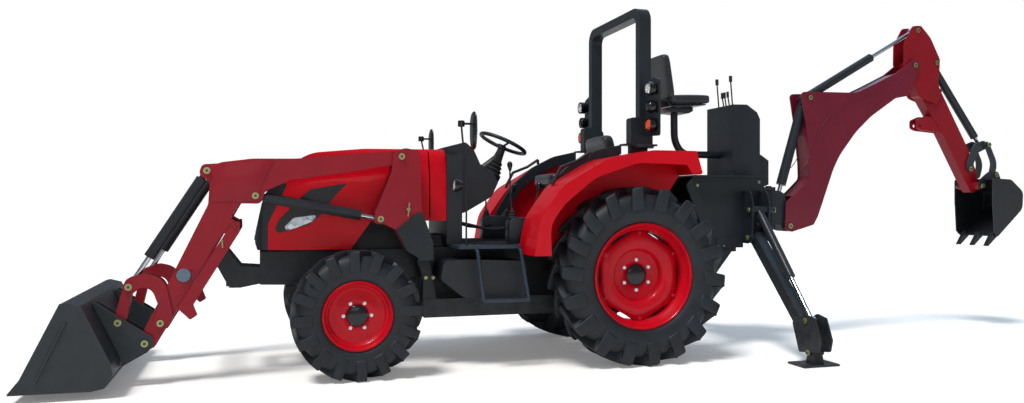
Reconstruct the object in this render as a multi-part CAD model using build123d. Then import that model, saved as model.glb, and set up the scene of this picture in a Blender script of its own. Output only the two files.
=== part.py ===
from build123d import *
from copy import copy
from math import atan2, cos, hypot, pi, radians, sin, sqrt, tan
import os

# Compact tractor with a front loader and a rear-mounted backhoe.
# Millimetres. The model is laid out from the ground point under the rear axle:
# +X forward, +Y to the tractor's left, +Z up. The last step slides it along X,
# so that the origin is the bottom centre of the whole machine's box.

# Driving sizes
wheelbase = 2050
rear_tyre_r = 655
rear_tyre_w = 345
rear_track = 1400
rear_lug_h = 38
rear_rim_r = 372
front_tyre_r = 437
front_tyre_w = 240
front_track = 1340
front_lug_h = 26
front_rim_r = 232
lugs_per_side = 18
kingpin_y = front_track / 2 - 195
beam_seat_z = 506
trumpet_end = rear_track / 2 - 140
steer_arm = 150
tie_rod_z = 400
tie_rod_r = 14
pin_gap = 0.3
rest_gap = 0.3
plate = 12

bonnet_y = 330
bonnet_skin = 5
tow_pin_x = 2850
tow_bore_r = 14
wheel_centre = (826, 1658)
wheel_tilt = 24.2
bonnet_rear_x = 1485
cowl_rear_x = 1355

arm_y = 440
arm_w = 80
arm_tip_w = 66
pin_r = 19
mast_gap = 8

boom_half = 89
head_half = 72
dipper_half = 50
casting_half = 62
rod_slot_half = 35
eye_half = 20
digger_pin_r = 19
digger_rod_r = 18
bucket_rod_r = 16
boss_half = 120
idler_low = 55
idler_high = 69
link_low = 75
link_high = 89
ear_low = 122
dig_half = 225
thumb_ear_low = 30
thumb_r = 16
thumb_hole = (-3190, 1905)
swing_pin_r = 26
lug_high = 1295
lug_low = 995

stab_x = -1215
stab_leg_w = 84
stab_leg_t = 90
stab_eye_half = 69
stab_rod_r = 17

# Pin centres of the loader as (x, z) on both arms
lift_pivot = (1717, 1516)
lift_rod_pin = (1865, 1076)
lift_base_pin = (2702, 1238)
tilt_base_pin = (3009, 1404)
tilt_rod_pin = (3485, 647)
curve_pin = (3294, 406)
carrier_pin = (3386, 281)
carrier_link_pin = (3546, 420)
stand_pin = (2836, 1030)
cross_tube_centre = (3154, 713)
bonnet_hinge = (1492, 1578)

# Pin centres of the backhoe as (x, z) on its middle plane
swing_x = -1600
boom_pivot = (-1755, 986)
boom_rod_pin = (-1690, 1235)
boom_top_pin = (-1962, 2112)
dipper_pivot = (-3092, 2451)
dipper_rod_pin = (-3137, 2775)
bucket_base_pin = (-3354, 2487)
bucket_pivot = (-3817, 1346)
idler_pivot = (-3748, 1508)
cross_pin = (-3925, 1735)
bucket_link_pin = (-3982, 1450)

# Pin centres of the left stabiliser as (y, z)
stab_pivot = (410, 905)
stab_base_pin = (430, 1130)
stab_rod_pin = (1120, 325)
stab_leg_end = (1050, 260)
stab_foot_pin = (1155, 95)


# Helpers

def ring(points):
    """Closed face from (u, v, corner radius) rows. A corner is made smaller where its neighbour leaves too little room."""
    count = len(points)
    corners = []
    for i in range(count):
        u, v = points[i][0], points[i][1]
        radius = points[i][2] if len(points[i]) > 2 else 0
        before = Vector(points[i - 1][0] - u, points[i - 1][1] - v)
        after = Vector(points[(i + 1) % count][0] - u, points[(i + 1) % count][1] - v)
        half = radians(before.get_angle(after)) / 2
        reach = radius / tan(half) if radius and half < 0.4999 * pi else 0
        corners.append([Vector(u, v), before.normalized(), after.normalized(), half, reach, after.length])
    shares = [1.0] * count
    for i in range(count):
        following = (i + 1) % count
        wanted = corners[i][4] + corners[following][4]
        if wanted > 0.98 * corners[i][5]:
            share = 0.98 * corners[i][5] / wanted
            shares[i] = min(shares[i], share)
            shares[following] = min(shares[following], share)
    starts, ends, middles = [], [], []
    for (corner, before, after, half, reach, _), share in zip(corners, shares):
        reach = reach * share
        starts.append(corner + before * reach)
        ends.append(corner + after * reach)
        if reach < 0.05:
            middles.append(None)
            continue
        to_centre = (before + after).normalized()
        middles.append(corner + to_centre * (reach / cos(half) - reach * tan(half)))
    edges = []
    for i in range(count):
        if middles[i] is not None:
            edges.append(ThreePointArc(starts[i], middles[i], ends[i]))
        elif (ends[i] - starts[i]).length > 1e-6:
            starts[i] = ends[i] = corners[i][0]
    for i in range(count):
        following = (i + 1) % count
        if (ends[i] - starts[following]).length > 1e-4:
            edges.append(Line(ends[i], starts[following]))
    return make_face(edges)


def side(points, y0, y1):
    """Plate or block from a side view of (x, z, corner radius) rows, between two y values."""
    plane = Plane(origin=(0, max(y0, y1), 0), x_dir=(1, 0, 0), z_dir=(0, -1, 0))
    return extrude(plane * ring(points), amount=abs(y1 - y0))


def front(points, x0, x1):
    """Block from a front view of (y, z, corner radius) rows, between two x values."""
    plane = Plane(origin=(min(x0, x1), 0, 0), x_dir=(0, 1, 0), z_dir=(1, 0, 0))
    return extrude(plane * ring(points), amount=abs(x1 - x0))


def plan(points, z0, z1):
    """Block from a plan view of (x, y, corner radius) rows, between two heights."""
    return extrude(Plane(origin=(0, 0, min(z0, z1))) * ring(points), amount=abs(z1 - z0))


def block(x0, x1, y0, y1, z0, z1):
    centre = ((x0 + x1) / 2, (y0 + y1) / 2, (z0 + z1) / 2)
    return Pos(*centre) * Box(abs(x1 - x0), abs(y1 - y0), abs(z1 - z0))


def rod(start, end, radius):
    """Round bar between two points."""
    direction = Vector(*end) - Vector(*start)
    place = Plane(origin=start, z_dir=direction)
    return place * Cylinder(radius, direction.length, align=(Align.CENTER, Align.CENTER, Align.MIN))


def across(pin, y0, y1, radius):
    """Round bar along Y at a side-view pin centre."""
    return rod((pin[0], min(y0, y1), pin[1]), (pin[0], max(y0, y1), pin[1]), radius)


def along(pin, x0, x1, radius):
    """Round bar along X at a front-view pin centre."""
    return rod((min(x0, x1), pin[0], pin[1]), (max(x0, x1), pin[0], pin[1]), radius)


def mirrored(solid):
    return mirror(solid, about=Plane.XZ)


def pair(solid):
    return [solid, mirrored(solid)]


def bar_path(points, radius):
    """Round bar through points, straight runs with ball corners."""
    body = rod(points[0], points[1], radius)
    for i in range(1, len(points) - 1):
        body += Pos(*points[i]) * Sphere(radius)
        body += rod(points[i], points[i + 1], radius)
    return body


def step_from(pin, target, distance):
    """Point at a distance from a pin, towards a target."""
    length = hypot(target[0] - pin[0], target[1] - pin[1])
    return (pin[0] + (target[0] - pin[0]) / length * distance, pin[1] + (target[1] - pin[1]) / length * distance)


nodes = {}


def save(name, *solids):
    flat = []
    for item in solids:
        flat += list(item) if isinstance(item, (list, tuple)) else [item]
    nodes[name] = flat


# Wheels: tyres with lugs, and rims

def lug_face(y, low_r, high_r, angle, width):
    """Cross-section of a lug at one place along the wheel's axis."""
    spin = Plane(origin=(0, y, 0), x_dir=(cos(angle), 0, -sin(angle)), z_dir=(0, -1, 0))
    return spin * Polygon((-width / 2, low_r), (width / 2, low_r), (width / 2, high_r), (-width / 2, high_r), align=None)


def tyre(outer_r, width, rim_r, lug_h, lug_w, lug_turn):
    """Tyre about the Y axis at the origin. Its carcass has one flat for each lug, and two rows of slanted lugs stand on it."""
    carcass_r = outer_r - lug_h
    half = width / 2
    bulge_r = rim_r + 0.45 * (carcass_r - rim_r)
    bead = 0.36 * width
    sections = []
    for y, radius in ((-bead, rim_r + 18), (-half, bulge_r), (-0.33 * width, carcass_r),
                      (0.33 * width, carcass_r), (half, bulge_r), (bead, rim_r + 18)):
        sections.append(Plane(origin=(0, y, 0), x_dir=(1, 0, 0), z_dir=(0, 1, 0)) * RegularPolygon(radius, 2 * lugs_per_side))
    body = loft(sections, ruled=True)
    body -= rod((0, -width, 0), (0, width, 0), rim_r + rest_gap)
    lugs = []
    for row in (-1, 1):
        for i in range(lugs_per_side):
            spin = 2 * pi * (i + (0.5 if row > 0 else 0)) / lugs_per_side
            low_r = carcass_r * cos(pi / lugs_per_side / 2) - 14
            lug = loft([lug_face(-row * 0.02 * width, low_r, outer_r - 2, spin, lug_w),
                        lug_face(row * 0.30 * width, low_r, outer_r - 1, spin + 0.62 * lug_turn, lug_w),
                        lug_face(row * (half - 1), low_r - 50, outer_r - 0.75 * lug_h, spin + lug_turn, 0.8 * lug_w)], ruled=True)
            lugs.append(lug)
    return body.fuse(*lugs)


def rim(rim_r, width, dish_y, disc_r, hub_r, bolt_r, bolt_circle, shaft_r, shaft_from):
    """Wheel rim about the Y axis, its outer side towards +Y: a drop-centre barrel, a lobed disc, the hub and its bolts."""
    seat = 0.36 * width
    body = rod((0, -seat - 9, 0), (0, seat + 9, 0), rim_r)
    hollow = revolve(Plane.XZ * ring([(0, -seat - 10), (rim_r - 8, -seat - 10), (rim_r - 36, -seat + 30), (rim_r - 36, seat - 30),
                                      (rim_r - 8, seat + 10), (0, seat + 10)]), axis=Axis.Z)
    body -= Rot(90, 0, 0) * hollow
    lobes = []
    for i in range(12):
        a = pi * i / 6
        radius = rim_r - 6 if i % 2 == 0 else disc_r
        lobes.append((radius * cos(a), radius * sin(a), 30))
    disc_plane = Plane(origin=(0, dish_y, 0), x_dir=(1, 0, 0), z_dir=(0, 1, 0))
    body += extrude(disc_plane * ring(lobes), amount=10)
    body += rod((0, dish_y - 30, 0), (0, dish_y + 1, 0), 0.62 * disc_r)
    body += rod((0, dish_y, 0), (0, dish_y + 34, 0), hub_r)
    body += rod((0, shaft_from, 0), (0, dish_y, 0), shaft_r)
    for i in range(6):
        a = pi * i / 3 + pi / 6
        body += rod((bolt_circle * cos(a), dish_y + 5, bolt_circle * sin(a)), (bolt_circle * cos(a), dish_y + 24, bolt_circle * sin(a)), bolt_r)
    return body


rear_tyre = tyre(rear_tyre_r, rear_tyre_w, rear_rim_r, rear_lug_h, 44, 0.19)
front_tyre = tyre(front_tyre_r, front_tyre_w, front_rim_r, front_lug_h, 30, 0.17)
rear_rim = rim(rear_rim_r, rear_tyre_w, 10, 250, 75, 12, 110, 60, trumpet_end - rear_track / 2 + rest_gap)
front_rim = rim(front_rim_r, front_tyre_w, 30, 150, 68, 10, 93, 45, -106)

wheel_table = [
    # name, axle x, axle height, track, tyre, rim
    ("rear", 0, rear_tyre_r, rear_track, rear_tyre, rear_rim),
    ("front", wheelbase, front_tyre_r, front_track, front_tyre, front_rim),
]
for name, axle_x, axle_z, track, one_tyre, one_rim in wheel_table:
    left_tyre = Pos(axle_x, track / 2, axle_z) * one_tyre
    left_rim = Pos(axle_x, track / 2, axle_z) * one_rim
    save(name + "_tyre_left", left_tyre)
    save(name + "_tyre_right", mirrored(left_tyre))
    save(name + "_rim_left", left_rim)
    save(name + "_rim_right", mirrored(left_rim))

# Chassis, driveline and axles

chassis_half = 200
frame_rail = side([(1560, 640), (1560, 850), (2672, 845, 20), (2672, 611, 20), (2500, 606), (2420, 640)], 150, chassis_half)
front_beam = block(2600, 2672, -chassis_half, chassis_half, 611, 845)
hitch_side = side([(2672, 617), (2672, 732), (2800, 742), (2925, 905, 12), (2972, 772), (2878, 594, 10), (2806, 592, 10)],
                  172, 172 + plate)
hitch_cross = block(2790, 2900, -172, 172, 604, 640)
front_frame = front_beam + hitch_cross
for item in pair(frame_rail) + pair(hitch_side):
    front_frame += item
front_frame -= rod((tow_pin_x, 0, 500), (tow_pin_x, 0, 700), tow_bore_r)
save("chassis_frame", front_frame)

engine = block(1610, 2330, -149, 149, 650, 1240) + block(2400, 2470, -240, 240, 850.3, 1260)
save("engine_block", engine.solids())

case = side([(-250, 470, 60), (-250, 960, 60), (150, 985, 40), (420, 960, 40), (470, 858, 30), (1545, 858), (1545, 440, 30),
             (1200, 400, 40), (250, 400, 40)], -140, 140)
case += side([(1180, 380, 20), (1180, 858, 20), (1556, 858), (1556, 420, 20)], -200, 200)
case += side([(1340, 800), (1340, 950, 20), (1556, 950), (1556, 800)], -150, 150)
case += side([(-240, 480, 50), (-240, 850, 50), (240, 850, 50), (240, 480, 50)], -230, 230)
trumpet = rod((0, 220, rear_tyre_r), (0, trumpet_end - 15, rear_tyre_r), 92)
trumpet += rod((0, trumpet_end - 40, rear_tyre_r), (0, trumpet_end, rear_tyre_r), 130)
for item in pair(trumpet):
    case += item
save("transmission", case)

axle_z = front_tyre_r
beam_end = kingpin_y - 45
beam_stop = kingpin_y - 72
front_beam_points = [(-beam_end, beam_seat_z), (-beam_end, 570, 10), (-170, 590, 60), (170, 590, 60), (beam_end, 570, 10), (beam_end, beam_seat_z),
                     (beam_stop, beam_seat_z), (beam_stop - 10, 465, 20), (170, 420, 60), (-170, 420, 60), (10 - beam_stop, 465, 20),
                     (-beam_stop, beam_seat_z)]
front_axle = front(front_beam_points, wheelbase - 55, wheelbase + 55)
front_axle += rod((wheelbase - 240, 0, 505), (wheelbase + 110, 0, 505), 62)
for item in pair(rod((wheelbase, kingpin_y, beam_seat_z), (wheelbase, kingpin_y, 640), 60)):
    front_axle += item
save("front_axle", front_axle)

knuckle = rod((wheelbase, kingpin_y, 345), (wheelbase, kingpin_y, beam_seat_z - rest_gap), 62)
knuckle += rod((wheelbase, kingpin_y, axle_z), (wheelbase, kingpin_y + 125, axle_z), 56)
knuckle -= rod((wheelbase, kingpin_y + 85, axle_z), (wheelbase, kingpin_y + 135, axle_z), 45 + pin_gap)
knuckle += block(wheelbase - steer_arm, wheelbase, kingpin_y - 22, kingpin_y + 22, 415, 450)
knuckle += rod((wheelbase - steer_arm, kingpin_y, 415), (wheelbase - steer_arm, kingpin_y, 450), 24)
knuckle += rod((wheelbase - steer_arm, kingpin_y, 380), (wheelbase - steer_arm, kingpin_y, 416), 8)
save("knuckle_left", knuckle)
save("knuckle_right", mirrored(knuckle))

tie_rod = rod((wheelbase - steer_arm, -kingpin_y, tie_rod_z - 5), (wheelbase - steer_arm, kingpin_y, tie_rod_z - 5), tie_rod_r)
for item in pair(rod((wheelbase - steer_arm, kingpin_y, tie_rod_z - 24), (wheelbase - steer_arm, kingpin_y, tie_rod_z + 13), 21)):
    tie_rod += item
for item in pair(rod((wheelbase - steer_arm, kingpin_y, tie_rod_z - 30), (wheelbase - steer_arm, kingpin_y, tie_rod_z + 20), 8 + pin_gap)):
    tie_rod -= item
save("tie_rod", tie_rod)


# Bonnet, grille and headlamps

def hood(inset, drop):
    """Bonnet form, made smaller by an inset and let down at its open bottom and rear by a drop."""
    i = inset
    profile = side([
        (bonnet_rear_x - drop, 1058 - drop), (bonnet_rear_x - drop, 1586 - i), (1950, 1582 - i, 500),
        (2330, 1545 - i, 300), (2560 - i, 1400 - i, 110), (2655 - i, 1200, 300), (2712 - i, 930, 60),
        (2690 - i, 858 - drop), (2052, 858 - drop), (1910, 1056 - drop)], -bonnet_y - 5, bonnet_y + 5)
    top = front([
        (-bonnet_y + i, 800), (-bonnet_y + i, 1370), (-bonnet_y + 60 + i, 1600 - i, 90 - i),
        (bonnet_y - 60 - i, 1600 - i, 90 - i), (bonnet_y - i, 1370), (bonnet_y - i, 800)], 1300, 2800)
    face = plan([
        (1300, -bonnet_y + i), (2330, -bonnet_y + i, 260 - i), (2715 - i, -bonnet_y + 90 + i, 90 - i),
        (2715 - i, bonnet_y - 90 - i, 90 - i), (2330, bonnet_y - i, 260 - i), (1300, bonnet_y - i)], 700, 1700)
    return profile & top & face


bonnet_shell = hood(0, 0) - hood(bonnet_skin, 60)
grille_zone = side([(2474, 1346, 20), (2640, 1292), (2850, 1250), (2850, 800), (2618, 800), (2618, 1040, 60), (2530, 1232, 60)],
                   -400, 400)
lamp_zone = side([(2590, 962, 30), (2545, 1070, 60), (2400, 1225, 60), (2330, 1285, 40), (2074, 1330, 6), (2160, 1240, 60),
                  (2256, 1110, 20), (2340, 1036, 60)], 200, 400)
lens_zone = side([(2513, 992, 16), (2432, 1080, 40), (2310, 1098, 8), (2336, 1058, 20), (2420, 1020, 30)], 200, 400)
lamp_zones = lamp_zone + mirrored(lamp_zone)
save("bonnet", bonnet_shell - grille_zone - lamp_zones)

grille = (hood(0, 0) - hood(26, 60)) & grille_zone
for i in range(7):
    low = 900 + 50 * i
    slot = block(2400, 2800, -210, 210, low, low + 26)
    grille -= slot
grille_backing = (hood(27, 0) - hood(32, 60)) & side(
    [(2474, 1330), (2640, 1280), (2640, 870), (2618, 870), (2618, 1040), (2530, 1230)], -400, 400)
save("grille", grille.solids())

lamp_body = (hood(0.3, 0) - hood(22, 60)) & lamp_zone
lamp_lens = (hood(-3, 0) - hood(20, 60)) & lens_zone
lamp_body = lamp_body - lens_zone
save("headlamps", pair(lamp_body), pair(lamp_lens & lamp_zone))

# Cowl, steering column and wheel

cowl = side([(1235, 886), (1235, 1100), (1175, 1120, 30), (975, 1235, 30), (922, 1345, 20), (960, 1420, 30), (1064, 1484, 10),
             (1118, 1600, 20), (1182, 1650, 30), (1355, 1604), (1355, 886)], -200, 200)
cowl += block(1240, 1355, -345, 345, 886, 1545)
cowl -= block(1330, 1400, -151, 151, 880, 951)
column_top = (842, 1600)
column = rod((1010, 0, 1440), (column_top[0] + 25, 0, column_top[1] - 55), 34)
cowl += column
save("cowl", cowl)

band = front([(-bonnet_y, 1056), (-bonnet_y, 1370), (-bonnet_y + 60, 1588, 90), (bonnet_y - 60, 1588, 90),
              (bonnet_y, 1370), (bonnet_y, 1056)], 1355.3, bonnet_rear_x - 8)
band -= block(1370, 1500, -bonnet_y + 12, bonnet_y - 12, 900, 1560)

hand_wheel = Torus(188, 15) + Pos(0, 0, -30) * Cylinder(34, 30)
for spoke_angle in (90, 210, 330):
    a = radians(spoke_angle)
    hand_wheel += rod((28 * cos(a), 28 * sin(a), -28), (184 * cos(a), 184 * sin(a), -2), 9)
hand_wheel = Pos(wheel_centre[0], 0, wheel_centre[1]) * Rot(0, -wheel_tilt, 0) * hand_wheel
save("steering_wheel", hand_wheel)

# Platform with steps, tank

platform = plan([(480, -498), (866, -498), (866, -620, 10), (1335, -620, 40), (1335, 620, 40), (866, 620, 10), (866, 498), (480, 498)],
                862, 885.7)
platform -= block(1339, 1400, -151, 151, 800, 951)
for sign in (-1, 1):
    platform += bar_path([(1202, sign * 570, 866), (1202, sign * 650, 846), (1160, sign * 665, 494), (825, sign * 665, 494),
                          (882, sign * 650, 846), (882, sign * 570, 866)], 13)
    platform += block(825, 1165, min(sign * 590, sign * 668), max(sign * 590, sign * 668), 482, 494)
save("platform", platform)

tank = side([(1442, 640, 30), (1425, 776, 50), (1250, 785, 40), (809, 765, 50), (800, 497, 50), (1275, 511, 60)], 250, 550)
save("fuel_tanks", pair(tank))

# Fenders and the red cowl band

fender_top = [(850, 818), (805, 1080, 250), (640, 1310, 260), (300, 1505, 420), (-60, 1572, 300), (-412, 1572, 18),
              (-462, 1410)]
fender_low = [(-448, 1400), (-404, 1560, 14), (-60, 1560, 290), (296, 1493, 410), (630, 1301, 252), (793, 1076, 244), (836, 818)]
fender_arch = side(fender_top + fender_low, 520, 862)
fender_lip_low = [(-380, 1400), (-330, 1470, 30), (60, 1478, 300), (390, 1368, 300), (620, 1186, 200), (728, 1040, 200), (722, 818)]
fender_lip = side(fender_top + fender_lip_low, 850, 862)
fender_wall = side([(850, 862), (805, 1080, 250), (640, 1310, 260), (300, 1505, 420), (-60, 1572, 300), (-412, 1572, 18),
                    (-462, 1410), (-300, 1180, 60), (-260, 1000), (330, 1000), (480, 862)], 500, 508)
fender = fender_arch + fender_lip + side(fender_top + fender_low, 506, 522) + fender_wall
save("body_panels", pair(fender), band)

trim_outline = [(798, 886), (752, 1112, 250), (610, 1335, 260), (430, 1488, 260), (229, 1588, 300), (30, 1632),
                (30, 1560), (200, 1512, 300), (385, 1424, 260), (545, 1290, 260), (682, 1086, 250), (728, 886)]
trim = side(trim_outline, 452.4, 499.7)
handle = bar_path([(620, 600, 1335), (560, 601, 1450), (430, 601, 1500), (330, 601, 1565)], 12)
for x, z in ((620, 1335), (330, 1565)):
    handle += rod((x, 601, z), (x, 601, z - 40), 12)
handle -= Pos(rest_gap, 0, rest_gap) * side(fender_top + fender_lip_low, 500, 862)
save("fender_trims", pair(trim), pair(handle))

# Roll bar and lamps

rops_x0, rops_x1 = -212, -115
rops_y0, rops_y1 = 444, 514
rops_top = 2700
hoop = front([(-rops_y1, 1640), (-rops_y1, rops_top, 110), (rops_y1, rops_top, 110), (rops_y1, 1640), (rops_y0, 1640),
              (rops_y0, rops_top - 70, 60), (-rops_y0, rops_top - 70, 60), (-rops_y0, 1640)], rops_x0, rops_x1)
for sign in (-1, 1):
    y_in, y_out = sorted((sign * 434, sign * 524))
    hoop += side([(-222, 1640), (-222, 1800, 20), (-190, 1842, 20), (-40, 1842, 20), (-40, 1640)], y_in, y_out)
    hoop += block(-262, 18, y_in, y_out, 1626, 1640)
    y_in, y_out = sorted((sign * 420, sign * 480))
    hoop += block(-200, -60, y_in, y_out, 740, 1626)
lamp_rows = [
    # height, radius, length
    (2043, 46, 70),
    (1910, 42, 60),
    (1772, 42, 66),
]
lamp_y = 685
lamps = []
for z, radius, length in lamp_rows:
    lamp = rod((-165, lamp_y, z), (-165 + length, lamp_y, z), radius)
    lamps += pair(lamp)
for sign in (-1, 1):
    y_in, y_out = sorted((sign * 514, sign * 738))
    hoop += front([(sign * 514, 1700), (sign * 738, 1690, 24), (sign * 738, 2110, 30), (sign * 640, 2140, 30), (sign * 514, 2060)],
                  -180, -165.3)
dash_lamp = rod((1290, 555, 1314), (1348, 555, 1314), 38) + rod((1300, 560, 1314), (1300, 345.3, 1314), 9)
save("rops", hoop)
save("lamps", lamps, pair(dash_lamp))

# Seat, levers, pedals, mirrors

seat = side([(0, 1300, 30), (0, 1405, 30), (500, 1420, 40), (530, 1330, 40), (480, 1300)], -240, 240)
seat += side([(-70, 1340, 30), (-125, 1735, 35), (-20, 1735, 30), (50, 1400, 30), (60, 1340)], -225, 225)
for sign in (-1, 1):
    y_in, y_out = sorted((sign * 250, sign * 310))
    seat += side([(20, 1535, 20), (20, 1580, 20), (540, 1560, 20), (555, 1530, 15)], y_in, y_out)
    y_in, y_out = sorted((sign * 220, sign * 262))
    seat += side([(-40, 1500), (-50, 1575), (60, 1575, 20), (60, 1535, 20)], y_in, y_out)
seat += block(60, 420, -150, 150, 985, 1302)
save("driver_seat", seat)

controls = []
for sign, x_tip in ((1, 870), (1, 930), (-1, 880)):
    y = sign * 235 if x_tip == 870 else sign * 120 if sign > 0 else -235
    pedal = rod((1200, y, 1040), (x_tip + 30, y, 990), 9) + block(x_tip - 30, x_tip + 40, y - 32, y + 32, 990, 1002)
    controls.append(pedal + block(1190, 1234.7, y - 9, y + 9, 1030, 1052))
console = plan([(640, 330), (640, 452, 20), (905, 452, 30), (905, 330, 20)], 886, 1080)
console += rod((862, 380, 1060), (868, 330, 1440), 8) + Pos(868, 330, 1466) * Sphere(26)
console += rod((700, 390, 1070), (640, 330, 1290), 7) + Pos(636, 326, 1312) * Sphere(24)
controls += pair(console)
mirror_set = bar_path([(1262, 560, 885.9), (1262, 560, 1440), (1262, 690, 1560), (1262, 720, 1700)], 11)
mirror_set += side([(1268, 1560, 30), (1268, 1824, 40), (1236, 1800, 30), (1236, 1580, 30)], 665, 815)
controls += pair(mirror_set)
save("controls", controls)

# Loader masts (red) and the grey frame under the tractor

mast_outline = [(1585, 1560, 24), (1690, 1576, 50), (1775, 1552, 40), (1786, 1410, 60), (1902, 1122, 30), (1904, 1040, 32),
                (1840, 1040, 30), (1754, 1000, 10), (1676, 860, 16), (1596, 842, 16), (1520, 936, 20), (1568, 1050, 20)]
mast_out = (arm_y + arm_w / 2 + mast_gap, arm_y + arm_w / 2 + mast_gap + plate)
mast_in = (arm_y - arm_w / 2 - mast_gap - plate, arm_y - arm_w / 2 - mast_gap)
mast = side(mast_outline, *mast_out) + side(mast_outline, *mast_in)
mast += side([(1588, 1150), (1588, 1480), (1602, 1480), (1602, 1150)], mast_in[1] - 1, mast_out[0] + 1)
mast += across(lift_pivot, mast_in[0] - 14, mast_out[1] + 14, pin_r + 4)
mast += across(lift_rod_pin, arm_y + 26, mast_out[1] + 12, pin_r + 3)
mast += across(lift_rod_pin, mast_in[0] - 12, arm_y - 26, pin_r + 3)
save("loader_masts", pair(mast))

# Backhoe frame, one weldment with the rails that run forward to the masts

socket_outline = [(1560, 1100, 10), (1590, 1130, 10), (1756, 1000, 10), (1680, 850, 20), (1600, 800), (1540, 660, 40), (1540, 480),
                  (1440, 480), (1490, 760, 60), (1490, 900, 40)]
frame_parts = []
for sign in (-1, 1):
    for y0, y1 in ((mast_out[1] + 0.3, mast_out[1] + 0.3 + plate), (mast_in[0] - 0.3 - plate, mast_in[0] - 0.3)):
        low, high = sorted((sign * y0, sign * y1))
        if y0 > arm_y:
            frame_parts.append(side([(1560, 1100, 10), (1590, 1130, 10), (1756, 1000, 10), (1680, 850, 20), (1600, 800),
                                     (1490, 800), (1490, 900, 40)], low, high))
        else:
            frame_parts.append(side(socket_outline, low, high))
    low, high = sorted((sign * (mast_in[0] - 0.3 - plate), sign * (mast_out[1] + 0.3 + plate)))
    frame_parts.append(block(1490, 1600, low, high, 780, 834))
    low, high = sorted((sign * 200, sign * (mast_in[0] - 0.3)))
    frame_parts.append(block(1490, 1548, low, high, 640, 760))
    low, high = sorted((sign * 330, sign * 388))
    frame_parts.append(side([(1540, 356, 10), (1540, 492, 10), (-560, 492, 80), (-880, 800), (-1000, 800), (-640, 356, 80)], low, high))
    low, high = sorted((sign * 312, sign * 324))
    frame_parts.append(side([(-620, 1330, 30), (-700, 1412, 20), (-1340, 1412), (-1340, 960, 20), (-1141, 893), (-1141, 821),
                             (-1074, 821), (-1074, 789), (-880, 789), (-800, 900, 60)], low, high))
    low, high = sorted((sign * 323, sign * 332))
    frame_parts.append(block(-1070, -890, low, high, 792, 900))
    for x0 in (stab_x + 70, stab_x - 70 - plate):
        frame_parts.append(front([(sign * 200, 862), (sign * 200, 1284), (sign * 440, 1284, 40), (sign * 478, 1180, 60),
                                  (sign * 462, 880, 50), (sign * 400, 856, 20)], x0, x0 + plate))
    for pin in (stab_pivot, stab_base_pin):
        frame_parts.append(along((sign * pin[0], pin[1]), stab_x - 149, stab_x + 92, pin_r))
frame_parts.append(plan([(-664, -400, 20), (-664, 400, 20), (-1340, 400, 20), (-1340, -400, 20)], 1400, 1412))
frame_parts.append(block(-1340, -1325, -324, 324, 940, 1400))
frame_parts.append(block(-900, -885, -312, 312, 800, 1400))
lug_plan = [(-1330, -150), (-1410, -100, 40), (swing_x + 40, -62, 40), (swing_x - 40, -58, 50), (swing_x - 60, 0, 40),
            (swing_x - 40, 58, 50), (swing_x + 40, 62, 40), (-1410, 100, 40), (-1330, 150)]
frame_parts.append(plan(lug_plan, lug_high, lug_high + 30))
frame_parts.append(plan(lug_plan, lug_low - 40, lug_low))
frame_parts.append(rod((swing_x, 0, lug_low - 50), (swing_x, 0, lug_high + 40), swing_pin_r))
frame_parts.append(side([(-1335, 1410), (-1383, 1440), (-1383, 1600, 16), (-1450, 1606, 10), (-1535, 1552, 12), (-1535, 1345),
                         (-1480, lug_high + 29), (-1335, lug_high + 29)], -98, 98))
deck_top = 1412.3
subframe = frame_parts[0]
for item in frame_parts[1:]:
    subframe += item
save("backhoe_frame", subframe)

tower = side([(-1113, deck_top), (-1113, 2012, 8), (-1254, 2015, 8), (-1352, 1952, 12), (-1380, 1896, 8), (-1380, 1440),
              (-1334, deck_top)], -205, 205)
lever_rows = [
    # x, y, top height, knob radius
    (-1175, 110, 2255, 14),
    (-1175, -110, 2255, 14),
    (-1190, 40, 2130, 11),
    (-1190, -10, 2130, 11),
    (-1190, -50, 2130, 11),
]
for x, y, top, knob in lever_rows:
    tower += rod((x, y, 2000), (x + 20, y, top - 20), 6) + rod((x + 19, y, top - 40), (x + 21, y, top + 10), knob)
save("control_tower", tower)

rear_seat = side([(-505, 2425, 20), (-545, 2400, 10), (-600, 2100, 30), (-900, 2090, 30), (-915, 2010, 30), (-700, 1980, 20),
                  (-560, 2010, 60)], -200, 200)
rear_seat += block(-760, -600, -90, 90, 1925, 1985)
rear_seat += bar_path([(-680, 0, 1930), (-680, 0, 1740), (-740, 0, 1640), (-850, 0, 1598), (-1112, 0, 1598)], 30)
save("backhoe_seat", rear_seat)

# Loader arms with their cylinders and links

arm_outline = [(1668, 1572, 46), (1800, 1552, 200), (2435, 1492, 600), (2729, 1488, 400), (2950, 1452, 150), (3040, 1446, 34),
               (3062, 1378, 40), (2992, 1330, 30), (3002, 1180, 60), (3232, 698), (3404, 345, 60), (3446, 270, 40),
               (3390, 222, 40), (3330, 250, 30), (3140, 577), (2954, 916), (2808, 1186, 16), (2664, 1184, 40),
               (2640, 1268, 40), (2475, 1344), (2069, 1404), (1797, 1452, 200), (1672, 1462, 50)]
arm_low, arm_high = arm_y - arm_w / 2, arm_y + arm_w / 2
arm = side(arm_outline, arm_low, arm_high)
tip_low, tip_high = arm_y - arm_tip_w / 2, arm_y + arm_tip_w / 2
tip_zone = [(3080, 750), (3290, 750), (3600, 750), (3600, 100), (3080, 100)]
arm -= side(tip_zone, tip_high, arm_high + 10)
arm -= side(tip_zone, arm_low - 10, tip_low)
eye_slot = 27
arm -= side([(2940, 1500), (2940, 1345), (3120, 1300), (3120, 1500)], arm_y - eye_slot, arm_y + eye_slot)
arm -= side([(2600, 1150), (2600, 1300), (2760, 1300), (2760, 1150)], arm_y - eye_slot, arm_y + eye_slot)
arm -= across(lift_pivot, arm_low - 10, arm_high + 10, pin_r + 4 + pin_gap)
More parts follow.
